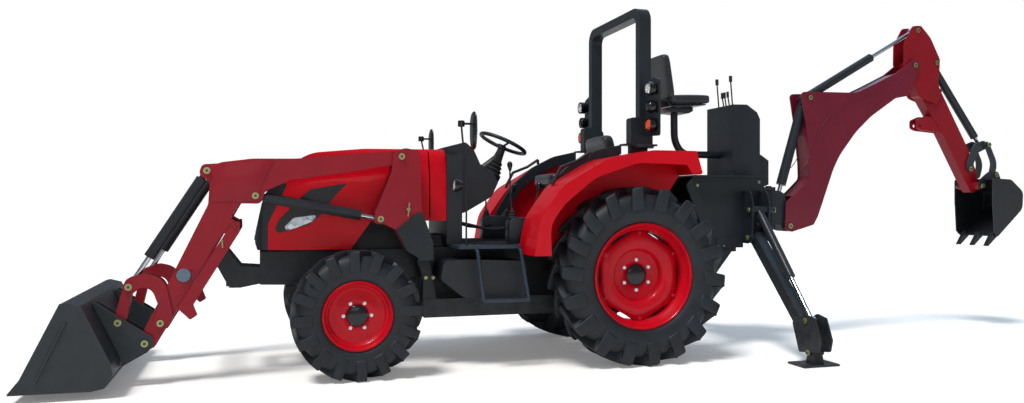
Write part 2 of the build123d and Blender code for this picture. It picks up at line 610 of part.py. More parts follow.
arm -= across(curve_pin, arm_low - 10, arm_high + 10, pin_r + pin_gap)
arm -= across(carrier_pin, arm_low - 10, arm_high + 10, pin_r + pin_gap)
arm += across(tilt_base_pin, arm_low - 10, arm_high + 10, pin_r)
arm += across(lift_base_pin, arm_low - 10, arm_high + 10, pin_r)
arm += side([(2804, 1020, 16), (2824, 1064, 16), (2900, 1110), (2960, 970), (2850, 996, 16)], arm_high - plate, arm_high)
arm += across(stand_pin, arm_high - plate, arm_high + 30, 12)
arm += across(stand_pin, arm_high - 5, arm_high + 9.7, 20)
arm += across(cross_tube_centre, tip_high - 10, tip_high + 2, 50)
arms = arm + mirrored(arm) + across(cross_tube_centre, 10 - tip_high, tip_high - 10, 40)
save("loader_arms", arms)


def barrel_side(pin, target, length, radius, width, bore_r, y):
    """Cylinder barrel in a side view from its base pin towards a target, hollow for its rod."""
    start = step_from(pin, target, 62)
    end = step_from(pin, target, length)
    body = rod((start[0], y, start[1]), (end[0], y, end[1]), radius)
    neck = step_from(pin, target, 20)
    body += rod((neck[0], y, neck[1]), (start[0], y, start[1]), width / 2 - 2)
    body += across(pin, y - width / 2, y + width / 2, 36)
    body -= across(pin, y - width, y + width, pin_r + pin_gap)
    hollow = step_from(pin, target, 90)
    past = step_from(pin, target, length + 10)
    return body - rod((hollow[0], y, hollow[1]), (past[0], y, past[1]), bore_r)


def rod_side(pin, target, inner_at, radius, width, y):
    """Piston rod in a side view: its eye is at the target, and it runs back into the barrel."""
    total = hypot(target[0] - pin[0], target[1] - pin[1])
    inner = step_from(pin, target, inner_at)
    outer = step_from(pin, target, total - 10)
    body = rod((inner[0], y, inner[1]), (outer[0], y, outer[1]), radius)
    body += across(target, y - width / 2, y + width / 2, 34)
    return body


lift_length = 720
tilt_length = 672
lift_rod_r = 17
tilt_rod_r = 17
lift_barrel = barrel_side(lift_base_pin, lift_rod_pin, lift_length, 36, 50, lift_rod_r + 0.5, arm_y)
tilt_barrel = barrel_side(tilt_base_pin, tilt_rod_pin, tilt_length, 36, 50, tilt_rod_r + 0.5, arm_y)
save("lift_barrels", pair(lift_barrel))
save("lift_rods", pair(rod_side(lift_base_pin, lift_rod_pin, 120, lift_rod_r, 40, arm_y)))
save("tilt_barrels", pair(tilt_barrel))
save("tilt_rods", pair(rod_side(tilt_base_pin, tilt_rod_pin, 210, tilt_rod_r, 32, arm_y)))

straight_out = (arm_y + 21, arm_y + 33)
curve_out = (arm_y + 37, arm_y + 49)
carrier_out = (arm_y + 55, arm_y + 67)


def both_faces(outline, faces):
    """Two plates at equal offsets each side of the arm's middle."""
    near = side(outline, faces[0], faces[1])
    return [near, mirror(near, about=Plane.XZ.offset(-arm_y))]


curve_outline = [(3252, 372, 36), (3216, 450, 60), (3268, 700, 120), (3400, 735, 110), (3498, 700, 36), (3530, 632, 34), (3470, 592, 34),
                 (3420, 640, 50), (3350, 640, 90), (3306, 520, 60), (3345, 400, 36), (3300, 350, 36)]
curve_parts = both_faces(curve_outline, curve_out)
curved = curve_parts[0] + curve_parts[1] + across(curve_pin, 2 * arm_y - curve_out[1] - 10, curve_out[1] + 10, pin_r)
curved += across(tilt_rod_pin, arm_y + 18, curve_out[1] + 10, pin_r)
curved += across(tilt_rod_pin, 2 * arm_y - curve_out[1] - 10, arm_y - 18, pin_r)
save("curved_links", pair(curved))

link_outline = [(3452, 662, 30), (3490, 684, 30), (3520, 642, 30), (3582, 410, 34), (3545, 382, 34), (3510, 410, 34)]
link_parts = both_faces(link_outline, straight_out)
straight = link_parts[0] + link_parts[1] + across(carrier_link_pin, straight_out[0] - 44, straight_out[0] + 2, 20)
straight -= across(tilt_rod_pin, arm_y - 60, arm_y + 60, pin_r + pin_gap)
save("straight_links", pair(straight))

carrier_outline = [(3706, 574, 10), (3545, 462, 30), (3336, 318, 36), (3336, 262, 30), (3372, 222, 24), (3472, 166, 20), (3526, 136),
                   (3526, 178), (3540, 214)]
carrier_parts = both_faces(carrier_outline, carrier_out)
carrier = carrier_parts[0] + carrier_parts[1]
carrier += across(carrier_pin, 2 * arm_y - carrier_out[1] - 12, carrier_out[1] + 12, pin_r)
for low, high in ((arm_y + 35, carrier_out[0] + 1), (2 * arm_y - carrier_out[0] - 1, arm_y - 35)):
    carrier += across(carrier_pin, low, high, 32)
    carrier += across(carrier_link_pin, low, high, 24)
bucket_half = 808
shell_outer = [(3823, 586, 6), (3788, 594, 12), (3708, 572, 8), (3540, 209, 30), (3528, 150, 30), (3570, 66, 40), (3650, 50, 60),
               (4099, 54)]
shell_inner = [(4099, 64), (3660, 62, 50), (3582, 76, 32), (3542, 152, 24), (3554, 206, 30), (3716, 562, 8), (3790, 582, 8),
               (3818, 574)]
bucket = side(shell_outer + shell_inner, -bucket_half, bucket_half)
cheek = side(shell_outer + [(4099, 64), (4036, 144, 10)], bucket_half - 12, bucket_half)
bucket += cheek + mirrored(cheek)
save("loader_carrier", pair(carrier))
save("loader_bucket", bucket)

stand = side([(2802, 1080, 12), (2880, 1010, 14), (3190, 500, 10), (3112, 422, 10), (3066, 452, 10), (3092, 520, 20), (2800, 1000, 14)],
             arm_high + 10, arm_high + 22)
stand -= across(stand_pin, arm_high, arm_high + 50, 12 + pin_gap)
save("parking_stands", pair(stand))

# Backhoe: swing casting, boom, dipper, bucket and their cylinders

casting_top = lug_high - rest_gap
casting_low = lug_low + rest_gap
casting_outline = [(swing_x + 10, casting_low), (swing_x + 10, casting_top), (swing_x - 60, casting_top), (-1712, 1272, 24),
                   (-1738, 1215, 30), (-1765, 1100, 60), (-1806, 1000, 46), (-1790, 938, 40), (-1715, 938, 36), (-1682, casting_low, 10)]
casting = side(casting_outline, -casting_half, casting_half)
casting += rod((swing_x, 0, casting_low), (swing_x, 0, casting_top), 58)
casting -= rod((swing_x, 0, 900), (swing_x, 0, 1400), swing_pin_r + pin_gap)
casting -= side([(swing_x - 48, 1400), (swing_x - 48, 1120, 20), (-1900, 1090), (-1900, 1400)], -rod_slot_half, rod_slot_half)
casting += across(boom_pivot, -boom_half - 10, boom_half + 10, digger_pin_r + 3)
for low, high in ((eye_half + 2, casting_half), (-casting_half, -eye_half - 2)):
    casting += across(boom_rod_pin, low, high, digger_pin_r)
save("swing_casting", casting)

boom_outline = [(-1706, 945, 24), (-1718, 1190, 14), (-1840, 1290, 120), (-1962, 1400, 60), (-1958, 1527, 300), (-1926, 1829, 300),
                (-1870, 2160, 34), (-2000, 2166, 40), (-2455, 2174, 200), (-2653, 2262, 200), (-2892, 2376, 100), (-3080, 2512, 40),
                (-3160, 2470, 50), (-3120, 2380, 30), (-3020, 2168, 10), (-2874, 2140, 60), (-2604, 1965, 400), (-2443, 1822, 600),
                (-2272, 1613, 500), (-2203, 1485, 500), (-2044, 1069, 100), (-2000, 995, 30), (-1780, 935, 40)]
boom = side(boom_outline, boom_half - plate, boom_half)
boom += mirrored(boom)
core_face = offset(ring(boom_outline), amount=-7)
core = extrude(Plane(origin=(0, boom_half - plate, 0), x_dir=(1, 0, 0), z_dir=(0, -1, 0)) * core_face, amount=2 * (boom_half - plate))
foot_room = [(-1600, 900), (-1600, 1262), (-1745, 1262), (-1850, 1230, 60), (-1900, 1080, 60), (-1880, 900)]
head_room = [(-1750, 2300), (-1750, 1560), (-1870, 1560), (-1955, 1840, 60), (-2012, 2070, 30), (-2150, 2120, 20), (-2190, 2300)]
nose_room = [(-3300, 2040), (-3300, 2700), (-2900, 2700), (-2880, 2372), (-2885, 2350, 20), (-2945, 2330, 40), (-2975, 2250, 40),
             (-2985, 2040)]
for room in (foot_room, head_room, nose_room):
    core -= side(room, -boom_half, boom_half)
boom += core
boom -= across(boom_pivot, -boom_half - 20, boom_half + 20, digger_pin_r + 3 + pin_gap)
boom += across(boom_top_pin, -boom_half - 8, boom_half + 8, digger_pin_r)
boom += across(dipper_pivot, -boom_half - 8, boom_half + 8, digger_pin_r)
save("boom", boom)


def bar_between(start, end, half):
    """Rectangle rows along a line, for use as a side view."""
    length = hypot(end[0] - start[0], end[1] - start[1])
    nx, nz = -(end[1] - start[1]) / length * half, (end[0] - start[0]) / length * half
    return [(start[0] + nx, start[1] + nz), (end[0] + nx, end[1] + nz), (end[0] - nx, end[1] - nz), (start[0] - nx, start[1] - nz)]


def digger_barrel(pin, target, length, radius, bore_r, eyes, start_at):
    """Backhoe cylinder barrel with its eye or fork on the base pin."""
    start = step_from(pin, target, start_at)
    end = step_from(pin, target, length)
    body = rod((start[0], 0, start[1]), (end[0], 0, end[1]), radius)
    for low, high in eyes:
        outer = step_from(pin, target, start_at + 30)
        body += side(bar_between(pin, outer, 30), low, high) + across(pin, low, high, 32)
    for low, high in eyes:
        body -= across(pin, low - 5, high + 5, digger_pin_r + pin_gap)
    hollow = step_from(pin, target, start_at + 40)
    past = step_from(pin, target, length + 10)
    return body - rod((hollow[0], 0, hollow[1]), (past[0], 0, past[1]), bore_r)


def digger_rod(pin, target, inner_at, radius, half, eye_r):
    """Backhoe piston rod with its eye on the target pin."""
    total = hypot(target[0] - pin[0], target[1] - pin[1])
    inner = step_from(pin, target, inner_at)
    outer = step_from(pin, target, total - 8)
    body = rod((inner[0], 0, inner[1]), (outer[0], 0, outer[1]), radius)
    return body + across(target, -half, half, eye_r)


boom_eyes = ((-22, 22),)
dipper_eyes = ((26, 44), (-44, -26))
save("boom_barrel", digger_barrel(boom_top_pin, boom_rod_pin, 800, 42, digger_rod_r + pin_gap, boom_eyes, 78))
save("boom_rod", digger_rod(boom_top_pin, boom_rod_pin, 128, digger_rod_r, eye_half, 28))
save("dipper_barrel", digger_barrel(boom_top_pin, dipper_rod_pin, 817, 38, digger_rod_r + pin_gap, dipper_eyes, 70))
save("dipper_rod", digger_rod(boom_top_pin, dipper_rod_pin, 545, digger_rod_r, eye_half, 32))

head_outline = [(-3085, 2815, 38), (-3175, 2822, 40), (-3285, 2715, 200), (-3392, 2520, 60), (-3386, 2430, 60), (-3370, 2262, 10),
                (-3420, 2235, 10), (-3350, 2100, 30), (-3160, 2160, 60), (-3030, 2330, 80), (-2985, 2470, 60), (-2988, 2655, 120)]
head = side(head_outline, head_half - plate, head_half)
dipper = head + mirrored(head)
dipper += side([(-3100, 2300), (-3200, 2390, 40), (-3376, 2330), (-3400, 2240), (-3340, 2110), (-3165, 2170, 60)],
               plate - head_half, head_half - plate)
dipper += side([(-3085, 2296), (-3372, 2320), (-3412, 2248), (-3730, 1714), (-3838, 1480, 60), (-3852, 1300, 35), (-3780, 1278, 30),
                (-3700, 1400), (-3414, 1874, 300), (-3316, 1994), (-3147, 2239)], -dipper_half, dipper_half)
dipper += across(dipper_pivot, -head_half, head_half, 46)
dipper += across(bucket_pivot, -boss_half, boss_half, 35)
dipper -= across(dipper_pivot, -150, 150, digger_pin_r + pin_gap)
dipper -= across(bucket_pivot, -150, 150, digger_pin_r + pin_gap)
for low, high in ((eye_half + 2, head_half + 6), (-head_half - 6, -eye_half - 2)):
    dipper += across(dipper_rod_pin, low, high, digger_pin_r)
dipper += across(bucket_base_pin, -head_half - 6, head_half + 6, digger_pin_r)
dipper += across(idler_pivot, -idler_high - 8, idler_high + 8, digger_pin_r)
thumb_outline = [(-3345, 1990), (-3240, 1990, 20), (-3150, 1955, 26), (-3150, 1880, 26), (-3200, 1860, 20), (-3440, 1842)]
for low, high in ((thumb_ear_low, thumb_ear_low + 16), (-thumb_ear_low - 16, -thumb_ear_low)):
    dipper += side(thumb_outline, low, high)
dipper -= across(thumb_hole, -100, 100, thumb_r)
save("dipper", dipper)

idler_outline = [(-3722, 1478, 26), (-3710, 1560, 60), (-3790, 1735, 90), (-3905, 1778, 40), (-3962, 1752, 30), (-3935, 1700, 30),
                 (-3840, 1660, 60), (-3790, 1560, 40), (-3778, 1478, 26)]
idler = side(idler_outline, idler_low, idler_high) + side(idler_outline, -idler_high, -idler_low)
idler -= across(idler_pivot, -120, 120, digger_pin_r + pin_gap)
for low, high in ((eye_half + 4, link_high + 28), (-link_high - 28, -eye_half - 4)):
    idler += across(cross_pin, low, high, digger_pin_r)
save("idler_links", idler)

bucket_link_outline = [(-3893, 1752, 28), (-3925, 1772, 28), (-3958, 1744, 28), (-4052, 1560, 160), (-4012, 1428, 28), (-3968, 1418, 26),
                       (-3950, 1452, 28), (-3982, 1560, 120)]
bucket_link = side(bucket_link_outline, link_low, link_high) + side(bucket_link_outline, -link_high, -link_low)
bucket_link -= across(cross_pin, -150, 150, digger_pin_r + pin_gap)
save("bucket_link", bucket_link)

bucket_eyes = ((-22, 22),)
save("bucket_barrel", digger_barrel(bucket_base_pin, cross_pin, 846, 35, bucket_rod_r + pin_gap, bucket_eyes, 62))
save("bucket_rod", digger_rod(bucket_base_pin, cross_pin, 140, bucket_rod_r, eye_half, 27))

dig_outer = [(-3866, 1414, 6), (-4070, 1406, 60), (-4214, 1290, 80), (-4206, 1130, 90), (-3912, 872)]
dig_inner = [(-3918, 886), (-4196, 1136, 80), (-4203, 1286, 72), (-4066, 1396, 52), (-3866, 1404)]
digger = side(dig_outer + dig_inner, -dig_half, dig_half)
dig_cheek = side(dig_outer + [(-3870, 912, 6), (-3852, 1200, 300), (-3852, 1400)], dig_half - 10, dig_half)
digger += dig_cheek + mirrored(dig_cheek)
ear_outline = [(-3776, 1330, 34), (-3790, 1400, 40), (-3900, 1478, 60), (-4010, 1484, 36), (-4040, 1408), (-3868, 1408), (-3846, 1310, 30)]
for sign in (-1, 1):
    low, high = sorted((sign * ear_low, sign * (ear_low + 15)))
    digger += side(ear_outline, low, high)
    low, high = sorted((sign * (link_high + 2), sign * (ear_low + 23)))
    digger += across(bucket_link_pin, low, high, digger_pin_r)
digger += across(bucket_pivot, -ear_low - 27, ear_low + 27, digger_pin_r)
for y in (-161, 0, 161):
    digger += side([(-3960, 918), (-3905, 908), (-3828, 783), (-3842, 783), (-3945, 872)], y - 24, y + 24)
save("digging_bucket", digger)

# Stabilisers, from the left one's front view


def front_bar(start, end, half, x0, x1, cap):
    """Bar in a front view between two (y, z) points."""
    length = hypot(end[0] - start[0], end[1] - start[1])
    ny, nz = -(end[1] - start[1]) / length * half, (end[0] - start[0]) / length * half
    return front([(start[0] + ny, start[1] + nz, cap), (end[0] + ny, end[1] + nz, cap), (end[0] - ny, end[1] - nz, cap),
                  (start[0] - ny, start[1] - nz, cap)], x0, x1)


leg_top = step_from(stab_pivot, stab_leg_end, -30)
leg = front_bar(leg_top, stab_leg_end, stab_leg_t / 2, stab_x - stab_leg_w / 2, stab_x + stab_leg_w / 2, 12)
leg += along(stab_pivot, stab_x - stab_eye_half, stab_x + stab_eye_half, 44)
shoe = [(1000, 345, 10), (1060, 338, 20), (1120, 372, 30), (1225, 352, 16), (1290, 200, 16), (1268, 112, 20), (1040, 82, 20), (960, 290, 20)]
for x0, x1 in ((stab_x + 42, stab_x + 54), (stab_x - 54, stab_x - 42)):
    leg += front(shoe, x0, x1)
leg += front([(1040, 140), (1040, 270), (1075, 270), (1075, 140)], stab_x - 45, stab_x + 45)
leg += along(stab_rod_pin, stab_x + 22, stab_x + 60, pin_r - 2) + along(stab_rod_pin, stab_x - 60, stab_x - 22, pin_r - 2)
leg += along(stab_foot_pin, stab_x - 62, stab_x + 62, 14)
leg -= along(stab_pivot, stab_x - 200, stab_x + 200, pin_r + pin_gap)
foot = front([(1040, 2), (1040, 16), (1240, 16), (1240, 2)], stab_x - 150, stab_x + 150)
foot += front([(1100, 10), (1130, 118, 22), (1180, 118, 22), (1210, 10)], stab_x - 40, stab_x + 40)
leg += foot
save("stabiliser_leg_left", leg)
save("stabiliser_leg_right", mirrored(leg))

start = step_from(stab_base_pin, stab_rod_pin, 60)
end = step_from(stab_base_pin, stab_rod_pin, 670)
stab_barrel = rod((stab_x, start[0], start[1]), (stab_x, end[0], end[1]), 35)
neck = step_from(stab_base_pin, stab_rod_pin, 10)
stab_barrel += rod((stab_x, neck[0], neck[1]), (stab_x, start[0], start[1]), 26)
stab_barrel += along(stab_base_pin, stab_x - stab_eye_half, stab_x + stab_eye_half, 32)
stab_barrel -= along(stab_base_pin, stab_x - 200, stab_x + 200, pin_r + pin_gap)
hollow = step_from(stab_base_pin, stab_rod_pin, 90)
past = step_from(stab_base_pin, stab_rod_pin, 690)
stab_barrel -= rod((stab_x, hollow[0], hollow[1]), (stab_x, past[0], past[1]), stab_rod_r + pin_gap)
inner = step_from(stab_base_pin, stab_rod_pin, 440)
outer = step_from(stab_base_pin, stab_rod_pin, 1045)
stab_rod = rod((stab_x, inner[0], inner[1]), (stab_x, outer[0], outer[1]), stab_rod_r)
stab_rod += along(stab_rod_pin, stab_x - eye_half, stab_x + eye_half, 28)
save("stabiliser_barrel_left", stab_barrel)
save("stabiliser_barrel_right", mirrored(stab_barrel))
save("stabiliser_rod_left", stab_rod)
save("stabiliser_rod_right", mirrored(stab_rod))


# Write every node, slid along X so that the origin is the bottom centre of the whole machine's box

def write_all():
    os.makedirs("parts", exist_ok=True)
    box = Compound(children=[copy(solid) for items in nodes.values() for item in items for solid in item.solids()]).bounding_box()
    slide_x = -(box.min.X + box.max.X) / 2
    print("slide along X", slide_x)
    for name, items in nodes.items():
        moved = [Pos(slide_x, 0, 0) * solid for item in items for solid in item.solids()]
        shape = moved[0] if len(moved) == 1 else Compound(children=moved)
        export_step(shape, "parts/" + name + ".step")


write_all()
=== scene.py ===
import bmesh
import bpy
from math import cos, exp, pi, radians, sin, tan
from mathutils import Matrix, Vector


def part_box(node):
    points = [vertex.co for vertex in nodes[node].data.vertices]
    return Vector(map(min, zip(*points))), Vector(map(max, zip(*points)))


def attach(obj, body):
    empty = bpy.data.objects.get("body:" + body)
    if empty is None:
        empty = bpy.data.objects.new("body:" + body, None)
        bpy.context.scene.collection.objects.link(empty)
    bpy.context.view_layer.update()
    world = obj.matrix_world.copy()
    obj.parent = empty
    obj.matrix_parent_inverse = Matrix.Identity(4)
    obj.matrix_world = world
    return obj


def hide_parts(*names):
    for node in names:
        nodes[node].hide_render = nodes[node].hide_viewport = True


# Compact tractor with a front loader and a rear backhoe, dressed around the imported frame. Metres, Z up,
# +X forward.

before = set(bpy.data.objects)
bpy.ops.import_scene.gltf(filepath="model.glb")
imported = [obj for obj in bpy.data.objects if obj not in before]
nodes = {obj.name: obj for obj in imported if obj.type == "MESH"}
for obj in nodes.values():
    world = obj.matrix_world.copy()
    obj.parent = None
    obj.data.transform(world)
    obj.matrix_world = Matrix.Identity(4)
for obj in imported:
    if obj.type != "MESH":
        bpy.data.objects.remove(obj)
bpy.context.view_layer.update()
scene = bpy.context.scene
sides = (("Left", 1), ("Right", -1))
print("frame loaded with", len(nodes), "nodes")


def middle(node):
    low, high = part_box(node)
    return (low + high) / 2


axleX = middle("rear_tyre_left").x


def fromAxle(x, y, z):
    return Vector((axleX + x, y, z))


# Materials

grainSize = {  # real sizes of the patterns in millimetres
    "dust": 60, "gloss": 35, "orangePeel": 4, "wear": 90, "scratch": 14, "wornGloss": 20, "plastic": 70,
    "bloom": 120, "dirt": 45, "rubber": 6, "oil": 150, "sand": 5, "grinding": 9, "zinc": 16, "vinyl": 80,
    "leather": 5,
}
roadDust, dryMud = "#6e665c", "#4b463f"


def linear(hexColour):  # sRGB hex to the linear colour that the shaders take
    channels = [int(hexColour[i:i + 2], 16) / 255 for i in (1, 3, 5)]
    return [c / 12.92 if c <= 0.04045 else ((c + 0.055) / 1.055) ** 2.4 for c in channels] + [1.0]


def setInputs(tree, node, values=None, links=None):
    for key, value in (values or {}).items():
        node.inputs[key].default_value = value
    for key, source in (links or {}).items():
        tree.links.new(source, node.inputs[key])
    return node


def addNode(tree, kind, values=None, links=None, **settings):
    node = tree.nodes.new(kind)
    for key, value in settings.items():
        setattr(node, key, value)
    return setInputs(tree, node, values, links)


def newMaterial(name):
    material = bpy.data.materials.new(name)
    material.use_nodes = True
    tree = material.node_tree
    tree.nodes.clear()
    shader = addNode(tree, "ShaderNodeBsdfPrincipled")
    addNode(tree, "ShaderNodeOutputMaterial", links={"Surface": shader.outputs["BSDF"]})
    place = addNode(tree, "ShaderNodeTexCoord").outputs["Object"]
    return material, tree, shader, place


def calculated(tree, operation, first, second, **settings):  # each term is a socket or a number
    node = addNode(tree, "ShaderNodeMath", operation=operation, **settings)
    for index, term in enumerate((first, second)):
        if isinstance(term, (int, float)):
            node.inputs[index].default_value = term
        else:
            tree.links.new(term, node.inputs[index])
    return node.outputs[0]


def colourMix(tree, factor, first, second):  # each colour is a socket or a hex value
    mix = addNode(tree, "ShaderNodeMix", links={0: factor}, data_type="RGBA")
    for index, colour in ((6, first), (7, second)):
        if isinstance(colour, str):
            mix.inputs[index].default_value = linear(colour)
        else:
            tree.links.new(colour, mix.inputs[index])
    return mix.outputs[2]


def ranged(tree, value, low=0.0, high=1.0, toLow=0.0, toHigh=1.0):
    limits = {"From Min": low, "From Max": high, "To Min": toLow, "To Max": toHigh}
    return addNode(tree, "ShaderNodeMapRange", limits, {"Value": value}).outputs["Result"]


def texture(tree, place, kind, millimetres, values=None, **settings):  # pattern with a real grain size
    scaled = {"Scale": 1000 / millimetres, **(values or {})}
    return addNode(tree, "ShaderNodeTex" + kind, scaled, {"Vector": place}, **settings).outputs


def noiseMask(tree, place, millimetres, low=0.3, high=0.7, detail=4.0):
    return ranged(tree, texture(tree, place, "Noise", millimetres, {"Detail": detail})["Fac"], low, high)


def dustMask(tree, place, low, high):  # 1 at the lower height, 0 from the upper one on
    height = addNode(tree, "ShaderNodeSeparateXYZ", links={"Vector": place}).outputs["Z"]
    return ranged(tree, height, high, low)


def roundedNormal(tree, radius):
    return addNode(tree, "ShaderNodeBevel", {"Radius": radius}, samples=4).outputs["Normal"]


def edgeMask(tree, radius):  # 1 where the rounded normal leaves the flat one, along the edges
    flat = addNode(tree, "ShaderNodeNewGeometry").outputs["Normal"]
    dot = addNode(tree, "ShaderNodeVectorMath", links={0: roundedNormal(tree, radius), 1: flat},
                  operation="DOT_PRODUCT").outputs["Value"]
    return ranged(tree, dot, 0.995, 0.9)


def bump(tree, height, strength, distance, edge=0):  # an edge radius also rounds the edges
    links = {"Height": height}
    if edge:
        links["Normal"] = roundedNormal(tree, edge)
    node = addNode(tree, "ShaderNodeBump", {"Strength": strength, "Distance": distance}, links)
    return node.outputs["Normal"]


def sprayedEnamel(name, colour, shade, cloud, dust, roughness, coat, edge, shine=0.28):
    # sprayed and baked: even colour, orange peel, a clear gloss, road dust low down
    material, tree, shader, place = newMaterial(name)
    base = colourMix(tree, noiseMask(tree, place, cloud), colour, shade)
    low = calculated(tree, "MULTIPLY", dustMask(tree, place, 0.0, 0.9), dust)
    dusty = calculated(tree, "MULTIPLY", low, noiseMask(tree, place, grainSize["dust"], 0.35))
    gloss = noiseMask(tree, place, grainSize["gloss"])
    peel = texture(tree, place, "Noise", grainSize["orangePeel"], {"Detail": 2.0})["Fac"]
    setInputs(tree, shader, {"Coat Weight": coat, "Coat Roughness": 0.06, "Specular IOR Level": shine},
              {"Base Color": colourMix(tree, dusty, base, roadDust),
               "Roughness": ranged(tree, gloss, toLow=roughness, toHigh=roughness + 0.10),
               "Normal": bump(tree, peel, 0.06, 0.001, edge)})
    return material


def wornEnamel(name, colour, shade, steel, wear, wearTop, roughness):
    # the same on digging gear: rubbed to bare steel along the edges and low down
    material, tree, shader, place = newMaterial(name)
    base = colourMix(tree, noiseMask(tree, place, grainSize["wear"]), colour, shade)
    scratch = texture(tree, place, "Noise", grainSize["scratch"], {"Detail": 8.0, "Roughness": 0.7})["Fac"]
    rubbed = ranged(tree, scratch, 0.62 - 0.1 * wear, 0.70)
    edges = calculated(tree, "MULTIPLY", edgeMask(tree, 0.006), wear)
    lowDown = calculated(tree, "MULTIPLY", rubbed, dustMask(tree, place, wearTop - 0.25, wearTop))
    bare = calculated(tree, "MAXIMUM", edges, lowDown, use_clamp=True)
    gloss = noiseMask(tree, place, grainSize["wornGloss"])
    setInputs(tree, shader, links={
        "Base Color": colourMix(tree, bare, base, steel),
        "Metallic": calculated(tree, "MULTIPLY", bare, 0.75),
        "Roughness": ranged(tree, gloss, toLow=roughness, toHigh=roughness + 0.16),
        "Normal": bump(tree, scratch, 0.10, 0.002, 0.003)})
    return material


def mouldedPlastic(name, colour, shade, roughness, grain, depth):  # moulded, with a fine spark-eroded grain
    material, tree, shader, place = newMaterial(name)
    cells = texture(tree, place, "Voronoi", grain)["Distance"]
    setInputs(tree, shader, {"Roughness": roughness},
              {"Base Color": colourMix(tree, noiseMask(tree, place, grainSize["plastic"]), colour, shade),
               "Normal": bump(tree, cells, depth, 0.001, 0.003)})
    return material


def mouldedRubber(name, colour, bloom, dust, roughness):  # vulcanised rubber with bloom and a little dry mud
    material, tree, shader, place = newMaterial(name)
    base = colourMix(tree, noiseMask(tree, place, grainSize["bloom"], 0.35, 0.75, 6.0), colour, bloom)
    faint = calculated(tree, "MULTIPLY", noiseMask(tree, place, grainSize["dirt"], 0.55, 0.8, 8.0), dust)
    grain = texture(tree, place, "Noise", grainSize["rubber"], {"Detail": 6.0})["Fac"]
    setInputs(tree, shader, {"Roughness": roughness},
              {"Base Color": colourMix(tree, faint, base, dryMud), "Normal": bump(tree, grain, 0.12, 0.002)})
    return material


def sandCasting(name, colour, shade, roughness):  # the sand's grain shows through the paint
    material, tree, shader, place = newMaterial(name)
    oily = noiseMask(tree, place, grainSize["oil"], 0.4, 0.7, 6.0)
    sand = texture(tree, place, "Noise", grainSize["sand"], {"Detail": 5.0})["Fac"]
    setInputs(tree, shader, links={
        "Base Color": colourMix(tree, oily, colour, shade),
        "Roughness": ranged(tree, oily, toLow=roughness, toHigh=roughness - 0.2),
        "Normal": bump(tree, sand, 0.35, 0.002, 0.004)})
    return material


def hardChrome(name, colour):  # ground and chromed piston rods
    material, tree, shader, place = newMaterial(name)
    fine = noiseMask(tree, place, grainSize["grinding"])
    setInputs(tree, shader, {"Base Color": linear(colour), "Metallic": 1.0},
              {"Roughness": ranged(tree, fine, toLow=0.10, toHigh=0.2)})
    return material


def yellowZinc(name, colour, tint):  # zinc plate with a yellow passivation, on pins and screws
    material, tree, shader, place = newMaterial(name)
    setInputs(tree, shader, {"Metallic": 0.85, "Roughness": 0.34},
              {"Base Color": colourMix(tree, noiseMask(tree, place, grainSize["zinc"], 0.35), colour, tint)})
    return material


def upholsteryVinyl(name, colour, shade, roughness):  # calendered vinyl with a leather print over foam
    material, tree, shader, place = newMaterial(name)
    leather = texture(tree, place, "Voronoi", grainSize["leather"], feature="DISTANCE_TO_EDGE")["Distance"]
    setInputs(tree, shader, {"Roughness": roughness, "Sheen Weight": 0.15},
              {"Base Color": colourMix(tree, noiseMask(tree, place, grainSize["vinyl"]), colour, shade),
               "Normal": bump(tree, leather, 0.25, 0.001)})
    return material


def lensPlastic(name, colour, clear, flute):  # clear or dyed polycarbonate with moulded flutes
    material, tree, shader, place = newMaterial(name)
    flutes = texture(tree, place, "Wave", 2 * flute, {"Distortion": 0.0}, bands_direction="Z")["Fac"]
    setInputs(tree, shader, {"Base Color": linear(colour), "Roughness": 0.05, "Transmission Weight": clear,
                             "IOR": 1.58}, {"Normal": bump(tree, flutes, 0.2, 0.001)})
    return material


def lensWithPaintedReflections(name, bright, dark, facet):  # clear lamp cover over a silvered reflector with flat facets, their reflections painted as bright and dark tones
    material, tree, shader, place = newMaterial(name)
    cells = texture(tree, place, "Voronoi", facet)
    paintedReflectionTone = addNode(tree, "ShaderNodeSeparateColor", links={"Color": cells["Color"]}).outputs["Red"]
    setInputs(tree, shader, {"Roughness": 0.12, "Coat Weight": 0.4},
              {"Base Color": colourMix(tree, paintedReflectionTone, bright, dark),
               "Normal": bump(tree, cells["Distance"], 0.4, 0.003)})
    return material


# Enamels: colour, shade, cloud size in mm, dust, roughness, coat, edge radius, shine
bodyRed = sprayedEnamel("brightRedBodyEnamel", "#cc0018", "#c20015", 400, 0.0, 0.36, 0.18, 0.004, 0.14)
rimRed = sprayedEnamel("brightRedRimEnamel", "#c4051c", "#b8051a", 90, 0.02, 0.32, 0.2, 0.004, 0.14)
loaderRed = sprayedEnamel("deepRedLoaderEnamel", "#930a20", "#890a1d", 200, 0.05, 0.40, 0.08, 0.004)
boomRed = sprayedEnamel("darkRedBoomEnamel", "#700f28", "#660e24", 200, 0.05, 0.40, 0.15, 0.004)
dipperRed = sprayedEnamel("redDipperEnamel", "#8c0c1b", "#820a18", 200, 0.0, 0.38, 0.12, 0.004, 0.2)
# the platform's steel blue is its paint made lighter and bluer, a painted highlight of the blue sky on its
# tubes
stepPaintWithPaintedHighlight = sprayedEnamel("steelBlueStepPaintWithPaintedHighlight", "#2b3a48", "#25323e", 150, 0.10, 0.40, 0.10, 0.003)
framePaint = sprayedEnamel("charcoalFramePaint", "#23292f", "#1d2227", 150, 0.22, 0.42, 0.08, 0.003)
greenPaint = sprayedEnamel("darkGreenPinPaint", "#3c5a34", "#2c4428", 20, 0.1, 0.5, 0.0, 0.001)
# a pale blue-grey for the loader's tube ends, a painted highlight
paintedHighlightGrey = sprayedEnamel("blueGreyPaintedHighlight", "#66788a", "#5c6d7e", 40, 0.1, 0.45, 0.1, 0.002)
